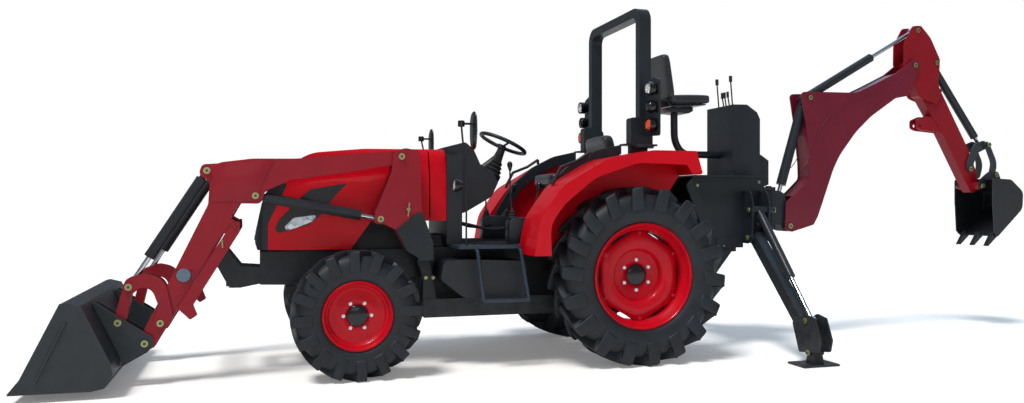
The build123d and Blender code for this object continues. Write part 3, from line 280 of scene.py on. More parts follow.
# Worn enamels: colour, shade, steel, wear, height of the worn part, roughness
diggerPaint = wornEnamel("blackDiggingBucketPaint", "#151a1f", "#101418", "#7b8084", 0.30, 0.05, 0.36)
bucketPaint = wornEnamel("charcoalBucketPaint", "#242b31", "#1e2429", "#7b8084", 0.30, 0.06, 0.40)
linkPaint = wornEnamel("charcoalLinkPaint", "#282e34", "#22272c", "#8b8f92", 0.35, 0.20, 0.40)
castPaint = sandCasting("blackCastPaint", "#1b1f23", "#121518", 0.62)
# Plastics: colour, shade, roughness, grain in mm, grain depth
blackPlastic = mouldedPlastic("blackMouldedPlastic", "#10161d", "#151c24", 0.48, 3.0, 0.10)
smoothPlastic = mouldedPlastic("blackGlossPlastic", "#0d0f11", "#121416", 0.22, 8.0, 0.02)
# Rubbers: colour, bloom, mud, roughness
tyreRubber = mouldedRubber("blackTyreRubber", "#0a1016", "#121d28", 0.12, 0.58)
matRubber = mouldedRubber("blackMatRubber", "#101214", "#191c1f", 0.45, 0.8)
chrome = hardChrome("hardChromeRod", "#c3c8cc")
zinc = yellowZinc("yellowZincPlate", "#b0aa72", "#929b7c")
vinyl = upholsteryVinyl("blackSeatVinyl", "#14171b", "#1b1f24", 0.42)
# Lenses: colour, clearness, flute in mm; then the painted reflections of the facets, bright and dark, and
# their size in mm
clearLens = lensPlastic("clearLampLens", "#f4f6f7", 0.75, 8)
amberLens = lensPlastic("amberLampLens", "#ff5a12", 0.35, 6)
paintedReflectionLens = lensWithPaintedReflections("lampLensWithPaintedReflections", "#f2f7fc", "#8496a8", 34)

finishes = (
    (bodyRed, "bonnet body_panels"),
    (rimRed, "rear_rim_left rear_rim_right front_rim_left front_rim_right"),
    (loaderRed, "loader_arms loader_masts curved_links straight_links parking_stands"),
    (boomRed, "boom"),
    (dipperRed, "dipper"),
    (stepPaintWithPaintedHighlight, "platform"),
    (framePaint, "swing_casting chassis_frame rops backhoe_frame control_tower lift_barrels tilt_barrels"),
    (framePaint, "boom_barrel dipper_barrel bucket_barrel stabiliser_leg_left stabiliser_leg_right"),
    (framePaint, "stabiliser_barrel_left stabiliser_barrel_right"),
    (bucketPaint, "loader_bucket loader_carrier"),
    (diggerPaint, "digging_bucket"),
    (linkPaint, "idler_links bucket_link"),
    (castPaint, "engine_block transmission front_axle knuckle_left knuckle_right tie_rod"),
    (blackPlastic, "cowl fuel_tanks fender_trims controls grille steering_wheel headlamps"),
    (tyreRubber, "rear_tyre_left rear_tyre_right front_tyre_left front_tyre_right"),
    (chrome, "lift_rods tilt_rods boom_rod dipper_rod bucket_rod stabiliser_rod_left stabiliser_rod_right"),
    (vinyl, "driver_seat backhoe_seat"),
    (smoothPlastic, "lamps"),
)
for material, names in finishes:
    for name in names.split():
        nodes[name].data.materials.clear()
        nodes[name].data.materials.append(material)
print("materials are on the nodes")

# Meshes and repeats

mergeDistance = 0.00005


def newObject(name, data):
    piece = bpy.data.objects.new(name, data)
    scene.collection.objects.link(piece)
    return piece


def shaded(mesh, sharpAngle):
    mesh.shade_smooth()
    mesh.set_sharp_from_angle(angle=radians(sharpAngle))


def addMesh(name, points, faces, material, sharpAngle=35):
    shape = bmesh.new()
    corners = [shape.verts.new(point) for point in points]
    for face in faces:
        shape.faces.new([corners[i] for i in face])
    bmesh.ops.remove_doubles(shape, verts=shape.verts, dist=mergeDistance)
    bmesh.ops.recalc_face_normals(shape, faces=shape.faces)
    mesh = bpy.data.meshes.new(name)
    shape.to_mesh(mesh)
    shape.free()
    mesh.materials.append(material)
    shaded(mesh, sharpAngle)
    return newObject(name, mesh)


def gridFaces(rows, columns, closeRows=False, closeColumns=False):
    faces = []
    for i in range(rows if closeRows else rows - 1):
        for j in range(columns if closeColumns else columns - 1):
            here, there = i * columns, (i + 1) % rows * columns
            after = (j + 1) % columns
            faces.append((here + j, here + after, there + after, there + j))
    return faces


def joined(name, pieces):  # one object of several, each with its own materials
    shape = bmesh.new()
    materials = []
    for piece in pieces:
        start = len(shape.faces)
        shape.from_mesh(piece.data)
        shape.faces.ensure_lookup_table()
        slots = []
        for material in piece.data.materials:
            if material not in materials:
                materials.append(material)
            slots.append(materials.index(material))
        for face in shape.faces[start:]:
            face.material_index = slots[face.material_index]
        bpy.data.objects.remove(piece)
    mesh = bpy.data.meshes.new(name)
    shape.to_mesh(mesh)
    shape.free()
    for material in materials:
        mesh.materials.append(material)
    return newObject(name, mesh)


def evaluatedMesh(piece):
    bpy.context.view_layer.update()
    graph = bpy.context.evaluated_depsgraph_get()
    return bpy.data.meshes.new_from_object(piece.evaluated_get(graph))


def applied(piece):  # modifiers turned into a plain mesh
    mesh = evaluatedMesh(piece)
    mesh.name = piece.name
    piece.modifiers.clear()
    piece.data = mesh
    return piece


def bevelled(piece, width, limitAngle=30):
    rounding = piece.modifiers.new("rounding", "BEVEL")
    rounding.width = width
    rounding.segments = 2
    rounding.limit_method = "ANGLE"
    rounding.angle_limit = radians(limitAngle)
    return applied(piece)


def mirroredCopy(piece, name):  # the same piece on the machine's other side
    mesh = piece.data.copy()
    mesh.name = name
    mesh.transform(Matrix.Scale(-1, 4, (0, 1, 0)))
    mesh.flip_normals()
    return newObject(name, mesh)


def moved(piece, offset):
    piece.data.transform(Matrix.Translation(offset))
    return piece


def turned(profile, centre, axis, segments, name, material, closed=False, sharpAngle=35):
    # profile rows are (distance along the axis, radius)
    axis = Vector(axis).normalized()
    across = axis.orthogonal().normalized()
    other = axis.cross(across)
    points = []
    for i in range(segments):
        a = 2 * pi * i / segments
        spoke = across * cos(a) + other * sin(a)
        points += [Vector(centre) + axis * distance + spoke * radius for distance, radius in profile]
    faces = gridFaces(segments, len(profile), closeRows=True, closeColumns=closed)
    return addMesh(name, points, faces, material, sharpAngle)


def tube(name, rows, radius, material, sides=12, smoothness=6):  # smooth bar; rows are places from the axle
    curve = bpy.data.curves.new(name, "CURVE")
    curve.dimensions = "3D"
    curve.bevel_depth = radius
    curve.bevel_resolution = sides // 4
    curve.resolution_u = smoothness
    curve.use_fill_caps = True
    spline = curve.splines.new("NURBS")
    spline.points.add(len(rows) - 1)
    for point, row in zip(spline.points, rows):
        point.co = (*fromAxle(*row), 1)
    spline.order_u = 3
    spline.use_endpoint_u = True
    holder = newObject(name, curve)
    mesh = evaluatedMesh(holder)
    bpy.data.objects.remove(holder)
    mesh.name = name
    mesh.materials.clear()
    mesh.materials.append(material)
    shaded(mesh, 50)
    return newObject(name, mesh)


def onSide(rows, sign):
    return [(x, sign * y, z) for x, y, z in rows]


def loftedPlate(name, outline, low, high, material, bevel=0.004, plane="xz"):
    # plate between two levels, with rounded edges; places are from the axle
    points = []
    for level in (low, high):
        for u, v in outline:
            spot = {"xz": (u, level, v), "yz": (level, u, v), "xy": (u, v, level)}[plane]
            points.append(fromAxle(*spot))
    count = len(outline)
    faces = [tuple(range(count)), tuple(range(2 * count - 1, count - 1, -1))]
    faces += [(i, (i + 1) % count, count + (i + 1) % count, count + i) for i in range(count)]
    piece = addMesh(name, points, faces, material)
    if bevel:
        bevelled(piece, bevel)
        shaded(piece.data, 35)
    return piece


def rectangle(x0, x1, y0, y1):
    return [(x0, y0), (x1, y0), (x1, y1), (x0, y1)]


def squaredCircle(angle, power):  # a round corner of a square with half sides of 1
    c, s = cos(angle), sin(angle)
    reach = (abs(c) ** power + abs(s) ** power) ** (1 / power)
    return c / reach, s / reach


def newTree(name, inputs):  # a Geometry Nodes tree with a mesh in and out, and inputs of (label, kind)
    tree = bpy.data.node_groups.new(name, "GeometryNodeTree")
    for label, kind in [("Geometry", "Geometry")] + inputs:
        tree.interface.new_socket(label, in_out="INPUT", socket_type="NodeSocket" + kind)
    tree.interface.new_socket("Geometry", in_out="OUTPUT", socket_type="NodeSocketGeometry")
    return tree, tree.nodes.new("NodeGroupInput").outputs


def closeTree(tree, links, material):  # copies on points, made real and painted last
    copies = addNode(tree, "GeometryNodeInstanceOnPoints", links=links)
    real = addNode(tree, "GeometryNodeRealizeInstances", links={"Geometry": copies.outputs["Instances"]})
    painted = addNode(tree, "GeometryNodeSetMaterial",
                      links={"Geometry": real.outputs["Geometry"], "Material": material})
    addNode(tree, "NodeGroupOutput", links={"Geometry": painted.outputs["Geometry"]})
    return tree


def runTree(piece, tree, values):
    modifier = piece.modifiers.new(tree.name, "NODES")
    modifier.node_group = tree
    for item in tree.interface.items_tree:
        if item.item_type == "SOCKET" and item.in_out == "INPUT" and item.name in values:
            modifier[item.identifier] = values[item.name]
    return applied(piece)


def buildSpinTree():  # copies of a mesh at equal steps about the Y axis
    tree, given = newTree("spunCopies", [("Copies", "Int"), ("Finish", "Material")])
    spots = addNode(tree, "GeometryNodePoints", links={"Count": given["Copies"]})
    step = calculated(tree, "DIVIDE", 2 * pi, given["Copies"])
    angle = calculated(tree, "MULTIPLY", addNode(tree, "GeometryNodeInputIndex").outputs["Index"], step)
    turn = addNode(tree, "ShaderNodeCombineXYZ", links={"Y": angle})
    rotation = addNode(tree, "FunctionNodeEulerToRotation", links={"Euler": turn.outputs["Vector"]})
    links = {"Points": spots.outputs[0], "Instance": given["Geometry"],
             "Rotation": rotation.outputs["Rotation"]}
    return closeTree(tree, links, given["Finish"])


def buildFastenerTree():  # a bolt head on a washer at each point, turned to the point's aim
    tree, given = newTree("fasteners", [
        ("Head Radius", "Float"), ("Head Height", "Float"), ("Head Sides", "Int"),
        ("Washer Radius", "Float"), ("Washer Height", "Float"), ("Finish", "Material")])
    head = addNode(tree, "GeometryNodeMeshCylinder", links={
        "Vertices": given["Head Sides"], "Radius": given["Head Radius"], "Depth": given["Head Height"]})
    washer = addNode(tree, "GeometryNodeMeshCylinder", {"Vertices": 20}, {
        "Radius": given["Washer Radius"], "Depth": given["Washer Height"]})
    both = calculated(tree, "ADD", given["Head Height"], given["Washer Height"])
    offset = addNode(tree, "ShaderNodeCombineXYZ", links={"Z": calculated(tree, "MULTIPLY", both, 0.5)})
    raised = addNode(tree, "GeometryNodeTransform", links={
        "Geometry": head.outputs["Mesh"], "Translation": offset.outputs["Vector"]})
    whole = addNode(tree, "GeometryNodeJoinGeometry", links={"Geometry": raised.outputs["Geometry"]})
    setInputs(tree, whole, links={"Geometry": washer.outputs["Mesh"]})
    aim = addNode(tree, "GeometryNodeInputNamedAttribute", {"Name": "aim"}, data_type="FLOAT_VECTOR")
    rotation = addNode(tree, "FunctionNodeAlignRotationToVector", links={"Vector": aim.outputs["Attribute"]},
                       axis="Z")
    links = {"Points": given["Geometry"], "Instance": whole.outputs["Geometry"],
             "Rotation": rotation.outputs["Rotation"]}
    return closeTree(tree, links, given["Finish"])


def buildRibTree():  # a row of blocks
    tree, given = newTree("ribRow", [
        ("Ribs", "Int"), ("Start", "Vector"), ("Step", "Vector"), ("Rib Size", "Vector"),
        ("Finish", "Material")])
    line = addNode(tree, "GeometryNodeMeshLine", links={
        "Count": given["Ribs"], "Start Location": given["Start"], "Offset": given["Step"]})
    rib = addNode(tree, "GeometryNodeMeshCube", links={"Size": given["Rib Size"]})
    return closeTree(tree, {"Points": line.outputs["Mesh"], "Instance": rib.outputs["Mesh"]}, given["Finish"])


spunCopies = buildSpinTree()
fastenerTree = buildFastenerTree()
ribTree = buildRibTree()


def fasteners(name, rows, body, finish, head, washer, headSides=6):
    # rows are (point, aim); head and washer are (radius, height)
    mesh = bpy.data.meshes.new(name)
    mesh.from_pydata([tuple(point) for point, _ in rows], [], [])
    aims = mesh.attributes.new("aim", "FLOAT_VECTOR", "POINT")
    for i, (_, aim) in enumerate(rows):
        aims.data[i].vector = aim
    piece = newObject(name, mesh)
    runTree(piece, fastenerTree, {"Head Radius": head[0], "Head Height": head[1], "Head Sides": headSides,
                                  "Washer Radius": washer[0], "Washer Height": washer[1], "Finish": finish})
    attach(piece, body)


# Tyres: a turned carcass, and slanted lugs that run from the middle over the shoulder

tyreLook = {
    "rear": {"lugsPerSide": 18, "lugHeight": 0.047, "lugWidth": 0.060, "shoulderWidth": 0.108, "turn": 0.30,
             "bead": 0.378, "sideLength": 0.168},
    "front": {"lugsPerSide": 16, "lugHeight": 0.033, "lugWidth": 0.044, "shoulderWidth": 0.080, "turn": 0.27,
              "bead": 0.224, "sideLength": 0.138},
}
lugForm = {"footHalf": 0.52, "topHalf": 0.45, "sunk": 0.045, "rounding": 0.005}


def carcassProfile(outer, half, look):
    tread = outer - look["lugHeight"]
    bead = look["bead"]
    wall = tread - bead
    shares = [  # of the half width and of the wall's height
        (0.84, 0.12), (0.88, 0.17), (0.89, 0.20), (0.95, 0.34), (0.945, 0.48), (0.90, 0.66), (0.82, 0.82),
        (0.66, 0.94)]
    inner = [(-0.66 * half, bead - 0.004), (-0.74 * half, bead + 0.004)]
    inner += [(-wide * half, bead + high * wall) for wide, high in shares] + [(-0.35 * half, tread)]
    return inner + [(0, tread + 0.002)] + [(-y, radius) for y, radius in reversed(inner)]


def lugPoints(row, outer, half, look):
    tread = outer - look["lugHeight"]
    side, narrow, wide = look["sideLength"], look["lugWidth"], look["shoulderWidth"]
    stations = [
        # share of the half width, top radius, foot radius, share of the turn, width
        (-0.07, outer - 0.002, tread - 0.014, 0.00, narrow),
        (0.12, outer, tread - 0.014, 0.16, narrow),
        (0.40, outer, tread - 0.016, 0.48, 1.02 * narrow),
        (0.70, outer - 0.002, tread - 0.024, 0.74, 1.08 * narrow),
        (0.92, outer - 0.004, tread - 0.050, 0.90, 0.80 * wide),
        (0.985, outer - 0.012, tread - 0.075, 0.94, 0.88 * wide),
        (1.0, outer - 0.45 * side, tread - 0.090, 0.97, 0.94 * wide),
        (0.99, outer - side, outer - side - 0.035, 1.0, wide),
    ]
    points = []
    for share, top, foot, turn, width in stations:
        a = look["turn"] * turn
        radial, around = Vector((sin(a), 0, cos(a))), Vector((cos(a), 0, -sin(a)))
        across = Vector((0, row * share * half, 0))
        sunk = Vector((0, -row * lugForm["sunk"] if share > 0.95 else 0, 0))
        low, high = across + sunk + radial * foot, across + radial * top
        footHalf, topHalf = around * width * lugForm["footHalf"], around * width * lugForm["topHalf"]
        points += [low - footHalf, high - topHalf, high + topHalf, low + footHalf]
    return points


def lugRow(row, outer, half, look):
    points = lugPoints(row, outer, half, look)
    last = len(points) - 4
    faces = gridFaces(last // 4 + 1, 4, closeColumns=True) + [(0, 1, 2, 3), tuple(range(last, last + 4))]
    lug = addMesh("lug", points, faces, tyreRubber)
    if row > 0:
        lug.data.transform(Matrix.Rotation(pi / look["lugsPerSide"], 4, "Y"))
    bevelled(lug, lugForm["rounding"], 40)
    for vertex in lug.data.vertices:  # the bevel lifts some corners above the tread's radius
        reach = Vector((vertex.co.x, 0, vertex.co.z)).length
        if reach > outer:
            vertex.co.x *= outer / reach
            vertex.co.z *= outer / reach
    shaded(lug.data, 50)
    return runTree(lug, spunCopies, {"Copies": look["lugsPerSide"], "Finish": tyreRubber})


for end, look in tyreLook.items():
    low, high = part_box(end + "_tyre_left")
    outer, half = (high.z - low.z) / 2, (high.y - low.y) / 2
    carcass = turned(carcassProfile(outer, half, look), (0, 0, 0), (0, 1, 0), 120, "carcass", tyreRubber,
                     closed=True, sharpAngle=60)
    pieces = [carcass] + [lugRow(row, outer, half, look) for row in (-1, 1)]
    tyre = moved(joined(end + "TyreLeft", pieces), (low + high) / 2)
    other = mirroredCopy(tyre, end + "TyreRight")
    for piece, hand in ((tyre, "left"), (other, "right")):
        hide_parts(f"{end}_tyre_{hand}")
        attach(piece, f"{end}_wheel_{hand}")
print("tyres are on")

# Rims: a rolled barrel, a pressed disc, a black hub cap and plated nuts

rimLook = {
    # disc rows are (radius, y), and the last one reaches the edge
    "rear": {"flange": 0.383, "seat": 0.128, "drop": 0.332, "lobes": 6, "lobeOut": 0.340, "lobeIn": 0.304,
             "nutCircle": 0.112, "firstNut": pi / 2, "hub": 0.074, "nut": 0.010,
             "disc": [(0.070, -0.010), (0.150, -0.010), (0.180, -0.004), (0.196, 0.036), (0.210, 0.046),
                      (0.262, 0.048), (1, 0.040)]},
    "front": {"flange": 0.228, "seat": 0.090, "drop": 0.194, "lobes": 0, "lobeOut": 0.211, "lobeIn": 0.211,
              "nutCircle": 0.093, "firstNut": 0, "hub": 0.067, "nut": 0.009,
              "disc": [(0.060, 0.050), (0.112, 0.048), (0.150, 0.038), (0.186, 0.038), (0.198, 0.052),
                       (0.206, 0.060), (1, 0.062)]},
}
clampLook = {"circle": 0.315, "y": 0.053}
discWall, discSegments = 0.009, 144


def barrelProfile(look):
    seat, flange, drop = look["seat"], look["flange"], look["drop"]
    half = [(seat + 0.012, flange), (seat + 0.016, flange - 0.006), (seat + 0.008, flange - 0.013),
            (seat - 0.006, flange - 0.018), (seat - 0.030, flange - 0.022), (seat - 0.050, drop + 0.004),
            (seat - 0.066, drop)]
    inside = half + [(-y, radius) for y, radius in reversed(half)]
    return inside + [(y * 0.985, radius + 0.008) for y, radius in reversed(inside)]


def discEdge(angle, look):  # lobes reach the barrel, with a shallow bite between each two
    bite = 0.5 + 0.5 * cos(look["lobes"] * angle)
    return look["lobeIn"] + (look["lobeOut"] - look["lobeIn"]) * (1 - bite) ** 1.6


def pressedDisc(look):
    points = []
    for i in range(discSegments):
        a = 2 * pi * i / discSegments
        edge = discEdge(a, look)
        for radius, y in look["disc"]:
            reach = edge if radius == 1 else min(radius, edge - 0.004)
            points.append((reach * cos(a), y, reach * sin(a)))
    disc = addMesh("disc", points, gridFaces(discSegments, len(look["disc"]), closeRows=True), rimRed, 45)
    wall = disc.modifiers.new("wall", "SOLIDIFY")
    wall.thickness = discWall
    wall.offset = 0
    return applied(disc)


def boltCircle(centre, sign, radius, y, first):  # six places on a wheel, with their aims outwards
    rows = []
    for i in range(6):
        a = first + pi * i / 3
        rows.append((Vector((centre.x + radius * cos(a), sign * (centre.y + y), centre.z + radius * sin(a))),
                     (0, sign, 0)))
    return rows


for end, look in rimLook.items():
    centre = middle(end + "_tyre_left")
    hub, hubY = look["hub"], look["disc"][0][1]
    barrel = turned(barrelProfile(look), (0, 0, 0), (0, 1, 0), 96, "barrel", rimRed, True, 50)
    hubProfile = [(hubY - 0.02, 0.0), (hubY - 0.02, hub + 0.004), (hubY + 0.010, hub + 0.004),
                  (hubY + 0.014, hub), (hubY + 0.020, 0.8 * hub), (hubY + 0.022, 0.0)]
    cap = turned(hubProfile, (0, 0, 0), (0, 1, 0), 48, "hub", smoothPlastic)
    rim = moved(joined(end + "RimLeft", [barrel, pressedDisc(look), cap]), centre)
    other = mirroredCopy(rim, end + "RimRight")
    for piece, (hand, sign) in zip((rim, other), sides):
        wheel = f"{end}_wheel_{hand.lower()}"
        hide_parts(f"{end}_rim_{hand.lower()}")
        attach(piece, wheel)
        nuts = boltCircle(centre, sign, look["nutCircle"], hubY + 0.007, look["firstNut"])
        fasteners(f"{end}Nuts{hand}", nuts, wheel, chrome, (look["nut"], 0.012), (look["nut"] + 0.003, 0.003))
        if look["lobes"]:
            clamps = boltCircle(centre, sign, clampLook["circle"], clampLook["y"], pi / 2)
            fasteners(f"{end}Clamps{hand}", clamps, wheel, rimRed, (0.009, 0.010), (0.015, 0.003))
print("rims are on")

# Pins: plated washers with dark ends, at the ends of the CAD's own pins

crossPins = [
    # body, x and z from the rear axle, y of the outer end
    ("tractor", 1.717, 1.516, 0.514), ("tractor", 1.865, 1.076, 0.512), ("loader", 2.702, 1.238, 0.490),
    ("loader", 3.009, 1.404, 0.490), ("curved_links", 3.294, 0.406, 0.499),
    ("curved_links", 3.485, 0.647, 0.499), ("bucket_group", 3.386, 0.281, 0.519),
    ("bucket_group", 3.546, 0.420, 0.508),
    ("swing_casting", -1.755, 0.986, 0.099), ("boom", -1.962, 2.112, 0.097), ("boom", -3.092, 2.451, 0.097),
    ("dipper", -3.137, 2.775, 0.078), ("dipper", -3.354, 2.487, 0.078), ("dipper", -3.748, 1.508, 0.077),
    ("idler_links", -3.925, 1.735, 0.117), ("digging_bucket", -3.982, 1.450, 0.145),
    ("digging_bucket", -3.817, 1.346, 0.149),
]
stabiliserPins = [
    # body stem, y, z, front and rear end x
    ("tractor", 0.410, 0.905, -1.123, -1.364), ("tractor", 0.430, 1.130, -1.123, -1.364),
    ("stabiliser_leg", 1.120, 0.325, -1.155, -1.275), ("stabiliser_leg", 1.155, 0.095, -1.153, -1.277),
]
pinEnds = {}
for body, x, z, y in crossPins:
    for _, sign in sides:
        pinEnds.setdefault(body, []).append((fromAxle(x, sign * y, z), (0, sign, 0)))
for stem, y, z, frontX, rearX in stabiliserPins:
    for hand, sign in sides:
        body = stem if stem == "tractor" else f"{stem}_{hand.lower()}"
        for x, aim in ((frontX, 1), (rearX, -1)):
            pinEnds.setdefault(body, []).append((fromAxle(x, sign * y, z), (aim, 0, 0)))
for body, ends in pinEnds.items():
    fasteners(f"pinWashers_{body}", ends, body, zinc, (0.016, 0.004), (0.0225, 0.006), 24)
    fasteners(f"pinEnds_{body}", ends, body, greenPaint, (0.009, 0.0085), (0.010, 0.006), 12)
print("pins are capped")

# Bolts that hold plates and brackets

plateBolts = [
    (1.524, 0.400, 0.648), (1.470, 0.400, 0.648), (-0.905, 0.324, 0.835), (-0.960, 0.324, 0.835),
    (-0.720, 0.324, 1.330), (-1.290, 0.324, 1.360), (-1.290, 0.324, 1.010),
]
ends = [(fromAxle(x, sign * y, z), (0, sign, 0)) for x, y, z in plateBolts for _, sign in sides]
fasteners("plateBolts_tractor", ends, "tractor", zinc, (0.0085, 0.007), (0.013, 0.003))

# Loader: end discs of its tubes in a pale blue-grey painted highlight, lynch pin on the mast, knee plate and
# the bucket's side ribs

crossTube = {"end": (3.154, 0.475, 0.713),
             "profile": [(-0.002, 0.0), (-0.002, 0.044), (0.004, 0.045), (0.007, 0.042), (0.007, 0.0)]}
carrierTube = {"end": (3.488, 0.486, 0.329),
               "profile": [(-0.02, 0.0), (-0.02, 0.033), (0.004, 0.033), (0.006, 0.030), (0.006, 0.0)]}
mastPin = {"shank": [(1.669, 0.498, 1.142), (1.669, 0.520, 1.142)],
           "grip": [(1.664, 0.521, 1.190), (1.669, 0.523, 1.142), (1.674, 0.521, 1.094)]}
kneePlate = {"outline": [(3.012, 1.424), (2.915, 1.462), (2.750, 1.484), (2.575, 1.482), (2.661, 1.312),
                         (2.679, 1.205), (2.809, 1.198), (2.990, 1.196), (2.968, 1.273), (3.008, 1.371)],
             "inner": 0.4795, "outer": 0.4835}
standPin = [(2.912, 0.503, 0.945), (2.909, 0.505, 0.892)]
bucketRib = [(3.790, 0.478), (3.872, 0.300), (3.955, 0.121)]

for hand, sign in sides:
    x, y, z = crossTube["end"]
    disc = turned(crossTube["profile"], fromAxle(x, sign * y, z), (0, sign, 0), 40, "crossTubeEnd" + hand,
                  paintedHighlightGrey)
    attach(disc, "loader")
for hand, sign in sides:
    shank = tube("shank", onSide(mastPin["shank"], sign), 0.013, zinc)
    grip = tube("grip", onSide(mastPin["grip"], sign), 0.006, zinc)
    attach(joined("mastPin" + hand, [shank, grip]), "tractor")
for hand, sign in sides:
    low, high = sorted((sign * kneePlate["inner"], sign * kneePlate["outer"]))
    knee = loftedPlate("kneePlate" + hand, kneePlate["outline"], low, high, loaderRed, 0.0015)
    pin = tube(f"kneePlate{hand}StandPin", onSide(standPin, sign), 0.007, zinc)
    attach(knee, "loader")
    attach(pin, "parking_stands")
for hand, sign in sides:
    x, y, z = carrierTube["end"]
    disc = turned(carrierTube["profile"], fromAxle(x, sign * y, z), (0, sign, 0), 32, "carrierTubeEnd" + hand,
                  paintedHighlightGrey)
    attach(disc, "bucket_group")
bucketLow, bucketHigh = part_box("loader_bucket")
for name, y in (("bucketRibLeft", bucketHigh.y), ("bucketRibRight", bucketLow.y)):
    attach(tube(name, [(x, y, z) for x, z in bucketRib], 0.011, bucketPaint), "bucket_group")
print("loader details are on")

# Seats: crowned pads on pressed pans

padLook = {"cuts": 15, "square": 7, "crown": 0.012, "pull": 0.02, "seams": (-0.11, 0.11), "seamDepth": 0.006,
           "seamWidth": 0.008, "weltRadius": 0.0035, "weltInset": 0.985, "weltHeight": 0.30, "weltSteps": 48}
seatPads = {
    # half sizes, centre from the rear axle, tilt about Y
    "driverSeatPad": ((0.245, 0.235, 0.050), (0.262, 0, 1.362), -2),
    "driverSeatBack": ((0.190, 0.220, 0.045), (-0.025, 0, 1.545), -78),
    "rearSeatPad": ((0.195, 0.200, 0.036), (-0.735, 0, 2.046), 2),
    "rearSeatBack": ((0.190, 0.198, 0.034), (-0.536, 0, 2.226), 279),
}


def cushion(name, half, centre, tilt, look):
    shape = bmesh.new()
    bmesh.ops.create_cube(shape, size=2)
    bmesh.ops.subdivide_edges(shape, edges=shape.edges, cuts=look["cuts"], use_grid_fill=True)
    square, pull = look["square"], look["pull"]
    for vertex in shape.verts:
        reach = sum(abs(c) ** square for c in vertex.co) ** (1 / square)
        x, y, z = vertex.co / reach
        top = z * half[2]
        if z > 0:
            top += look["crown"] * (1 - x * x) * (1 - y * y)
            for seam in look["seams"]:
                top -= look["seamDepth"] * exp(-((y * half[1] - seam) / look["seamWidth"]) ** 2)
        vertex.co = (x * half[0] * (1 - pull * (1 - y * y)), y * half[1] * (1 - pull * (1 - x * x)), top)
    mesh = bpy.data.meshes.new(name)
    shape.to_mesh(mesh)
    shape.free()
    mesh.transform(Matrix.Translation(fromAxle(*centre)) @ Matrix.Rotation(radians(tilt), 4, "Y"))
    mesh.materials.append(vinyl)
    mesh.shade_smooth()
    piece = newObject(name, mesh)
    smoothing = piece.modifiers.new("smoothing", "SUBSURF")
    smoothing.levels = smoothing.render_levels = 1
    return applied(piece)


def piping(name, half, centre, tilt, look):  # sewn welt round a cushion's edge
    route = []
    for i in range(look["weltSteps"] + 1):
        c, s = squaredCircle(2 * pi * i / look["weltSteps"], look["square"])
        spot = Vector((c * half[0] * look["weltInset"], s * half[1] * look["weltInset"],
                       look["weltHeight"] * half[2]))
        route.append(Vector(centre) + Matrix.Rotation(radians(tilt), 4, "Y") @ spot)
    return tube(name, route, look["weltRadius"], vinyl, 8, 2)


for name, (half, centre, tilt) in seatPads.items():
    pad = cushion(name, half, centre, tilt, padLook)
    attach(pad, "tractor")
    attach(piping(name + "Welt", half, centre, tilt, padLook), "tractor")

rearSeat = {
    "post": [(-0.680, 0, 1.985), (-0.680, 0, 1.840), (-0.684, 0, 1.700), (-0.760, 0, 1.598),
             (-0.900, 0, 1.598), (-1.112, 0, 1.598)],
    "postRadius": 0.030,
    "pan": [(-0.885, 2.010), (-0.560, 1.994), (-0.520, 2.040), (-0.512, 2.034), (-0.548, 1.982),
            (-0.60, 1.975), (-0.880, 2.000)],
    "slide": [(-0.800, 1.990), (-0.560, 1.985), (-0.600, 1.945), (-0.760, 1.935), (-0.800, 1.955)],
}
driverSeat = {
    "box": [(0.060, 0.985), (0.420, 0.985), (0.440, 1.290), (0.030, 1.290)],
    "shell": [(0.470, 1.300), (0.485, 1.316), (0.010, 1.316), (-0.060, 1.470), (-0.092, 1.640),
              (-0.106, 1.636), (-0.078, 1.460), (-0.010, 1.290)],
}
post = tube("post", rearSeat["post"], rearSeat["postRadius"], framePaint, 24, 12)
pan = loftedPlate("pan", rearSeat["pan"], -0.180, 0.180, smoothPlastic, 0.003)
slide = loftedPlate("slide", rearSeat["slide"], -0.11, 0.11, framePaint)
rearSeatFrame = joined("rearSeatFrame", [post, pan, slide])
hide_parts("backhoe_seat")
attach(rearSeatFrame, "tractor")
box = loftedPlate("box", driverSeat["box"], -0.15, 0.15, framePaint, 0.006)
shell = loftedPlate("shell", driverSeat["shell"], -0.190, 0.190, blackPlastic)
driverSeatFrame = joined("driverSeatFrame", [box, shell])
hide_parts("driver_seat")
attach(driverSeatFrame, "tractor")
print("seats are on")

# Lamps on the roll bar and the dash

rollBarLamps = [
    # height, radius, length, lens, reflector
    (2.043, 0.052, 0.070, clearLens, chrome),
    (1.908, 0.048, 0.060, smoothPlastic, smoothPlastic),
    (1.772, 0.050, 0.066, amberLens, chrome),
]
dashLamp = {
    "place": (1.348, 0.555, 1.314),
    "housing": [(-0.058, 0.0), (-0.056, 0.030), (-0.020, 0.045), (0.000, 0.049), (0.003, 0.045),
                (-0.004, 0.042)],
    "lens": [(-0.004, 0.042), (0.004, 0.028), (0.007, 0.0)],
    "reflector": [(-0.030, 0.0), (-0.028, 0.014), (-0.006, 0.041)],
    "arm": [(1.300, 0.560, 1.314), (1.300, 0.460, 1.314), (1.300, 0.345, 1.314)],
}


def lamp(place, housing, lens, reflector, glass, mirror):  # faces forward
    return [turned(housing, place, (1, 0, 0), 40, "housing", smoothPlastic),
            turned(lens, place, (1, 0, 0), 40, "lens", glass),
            turned(reflector, place, (1, 0, 0), 32, "reflector", mirror)]


def rollBarLamp(place, radius, length, glass, mirror):
    housing = [(0, 0.0), (0, 0.7 * radius), (0.4 * length, radius), (length - 0.004, radius),
               (length, radius - 0.003), (length - 0.004, radius - 0.007), (length - 0.012, radius - 0.008)]
    lens = [(length - 0.014, radius - 0.008), (length - 0.004, radius - 0.012),
            (length + 0.006, 0.55 * radius), (length + 0.010, 0.0)]
    reflector = [(length - 0.040, 0.0), (length - 0.038, 0.35 * radius), (length - 0.016, radius - 0.009)]
    return lamp(place, housing, lens, reflector, glass, mirror)


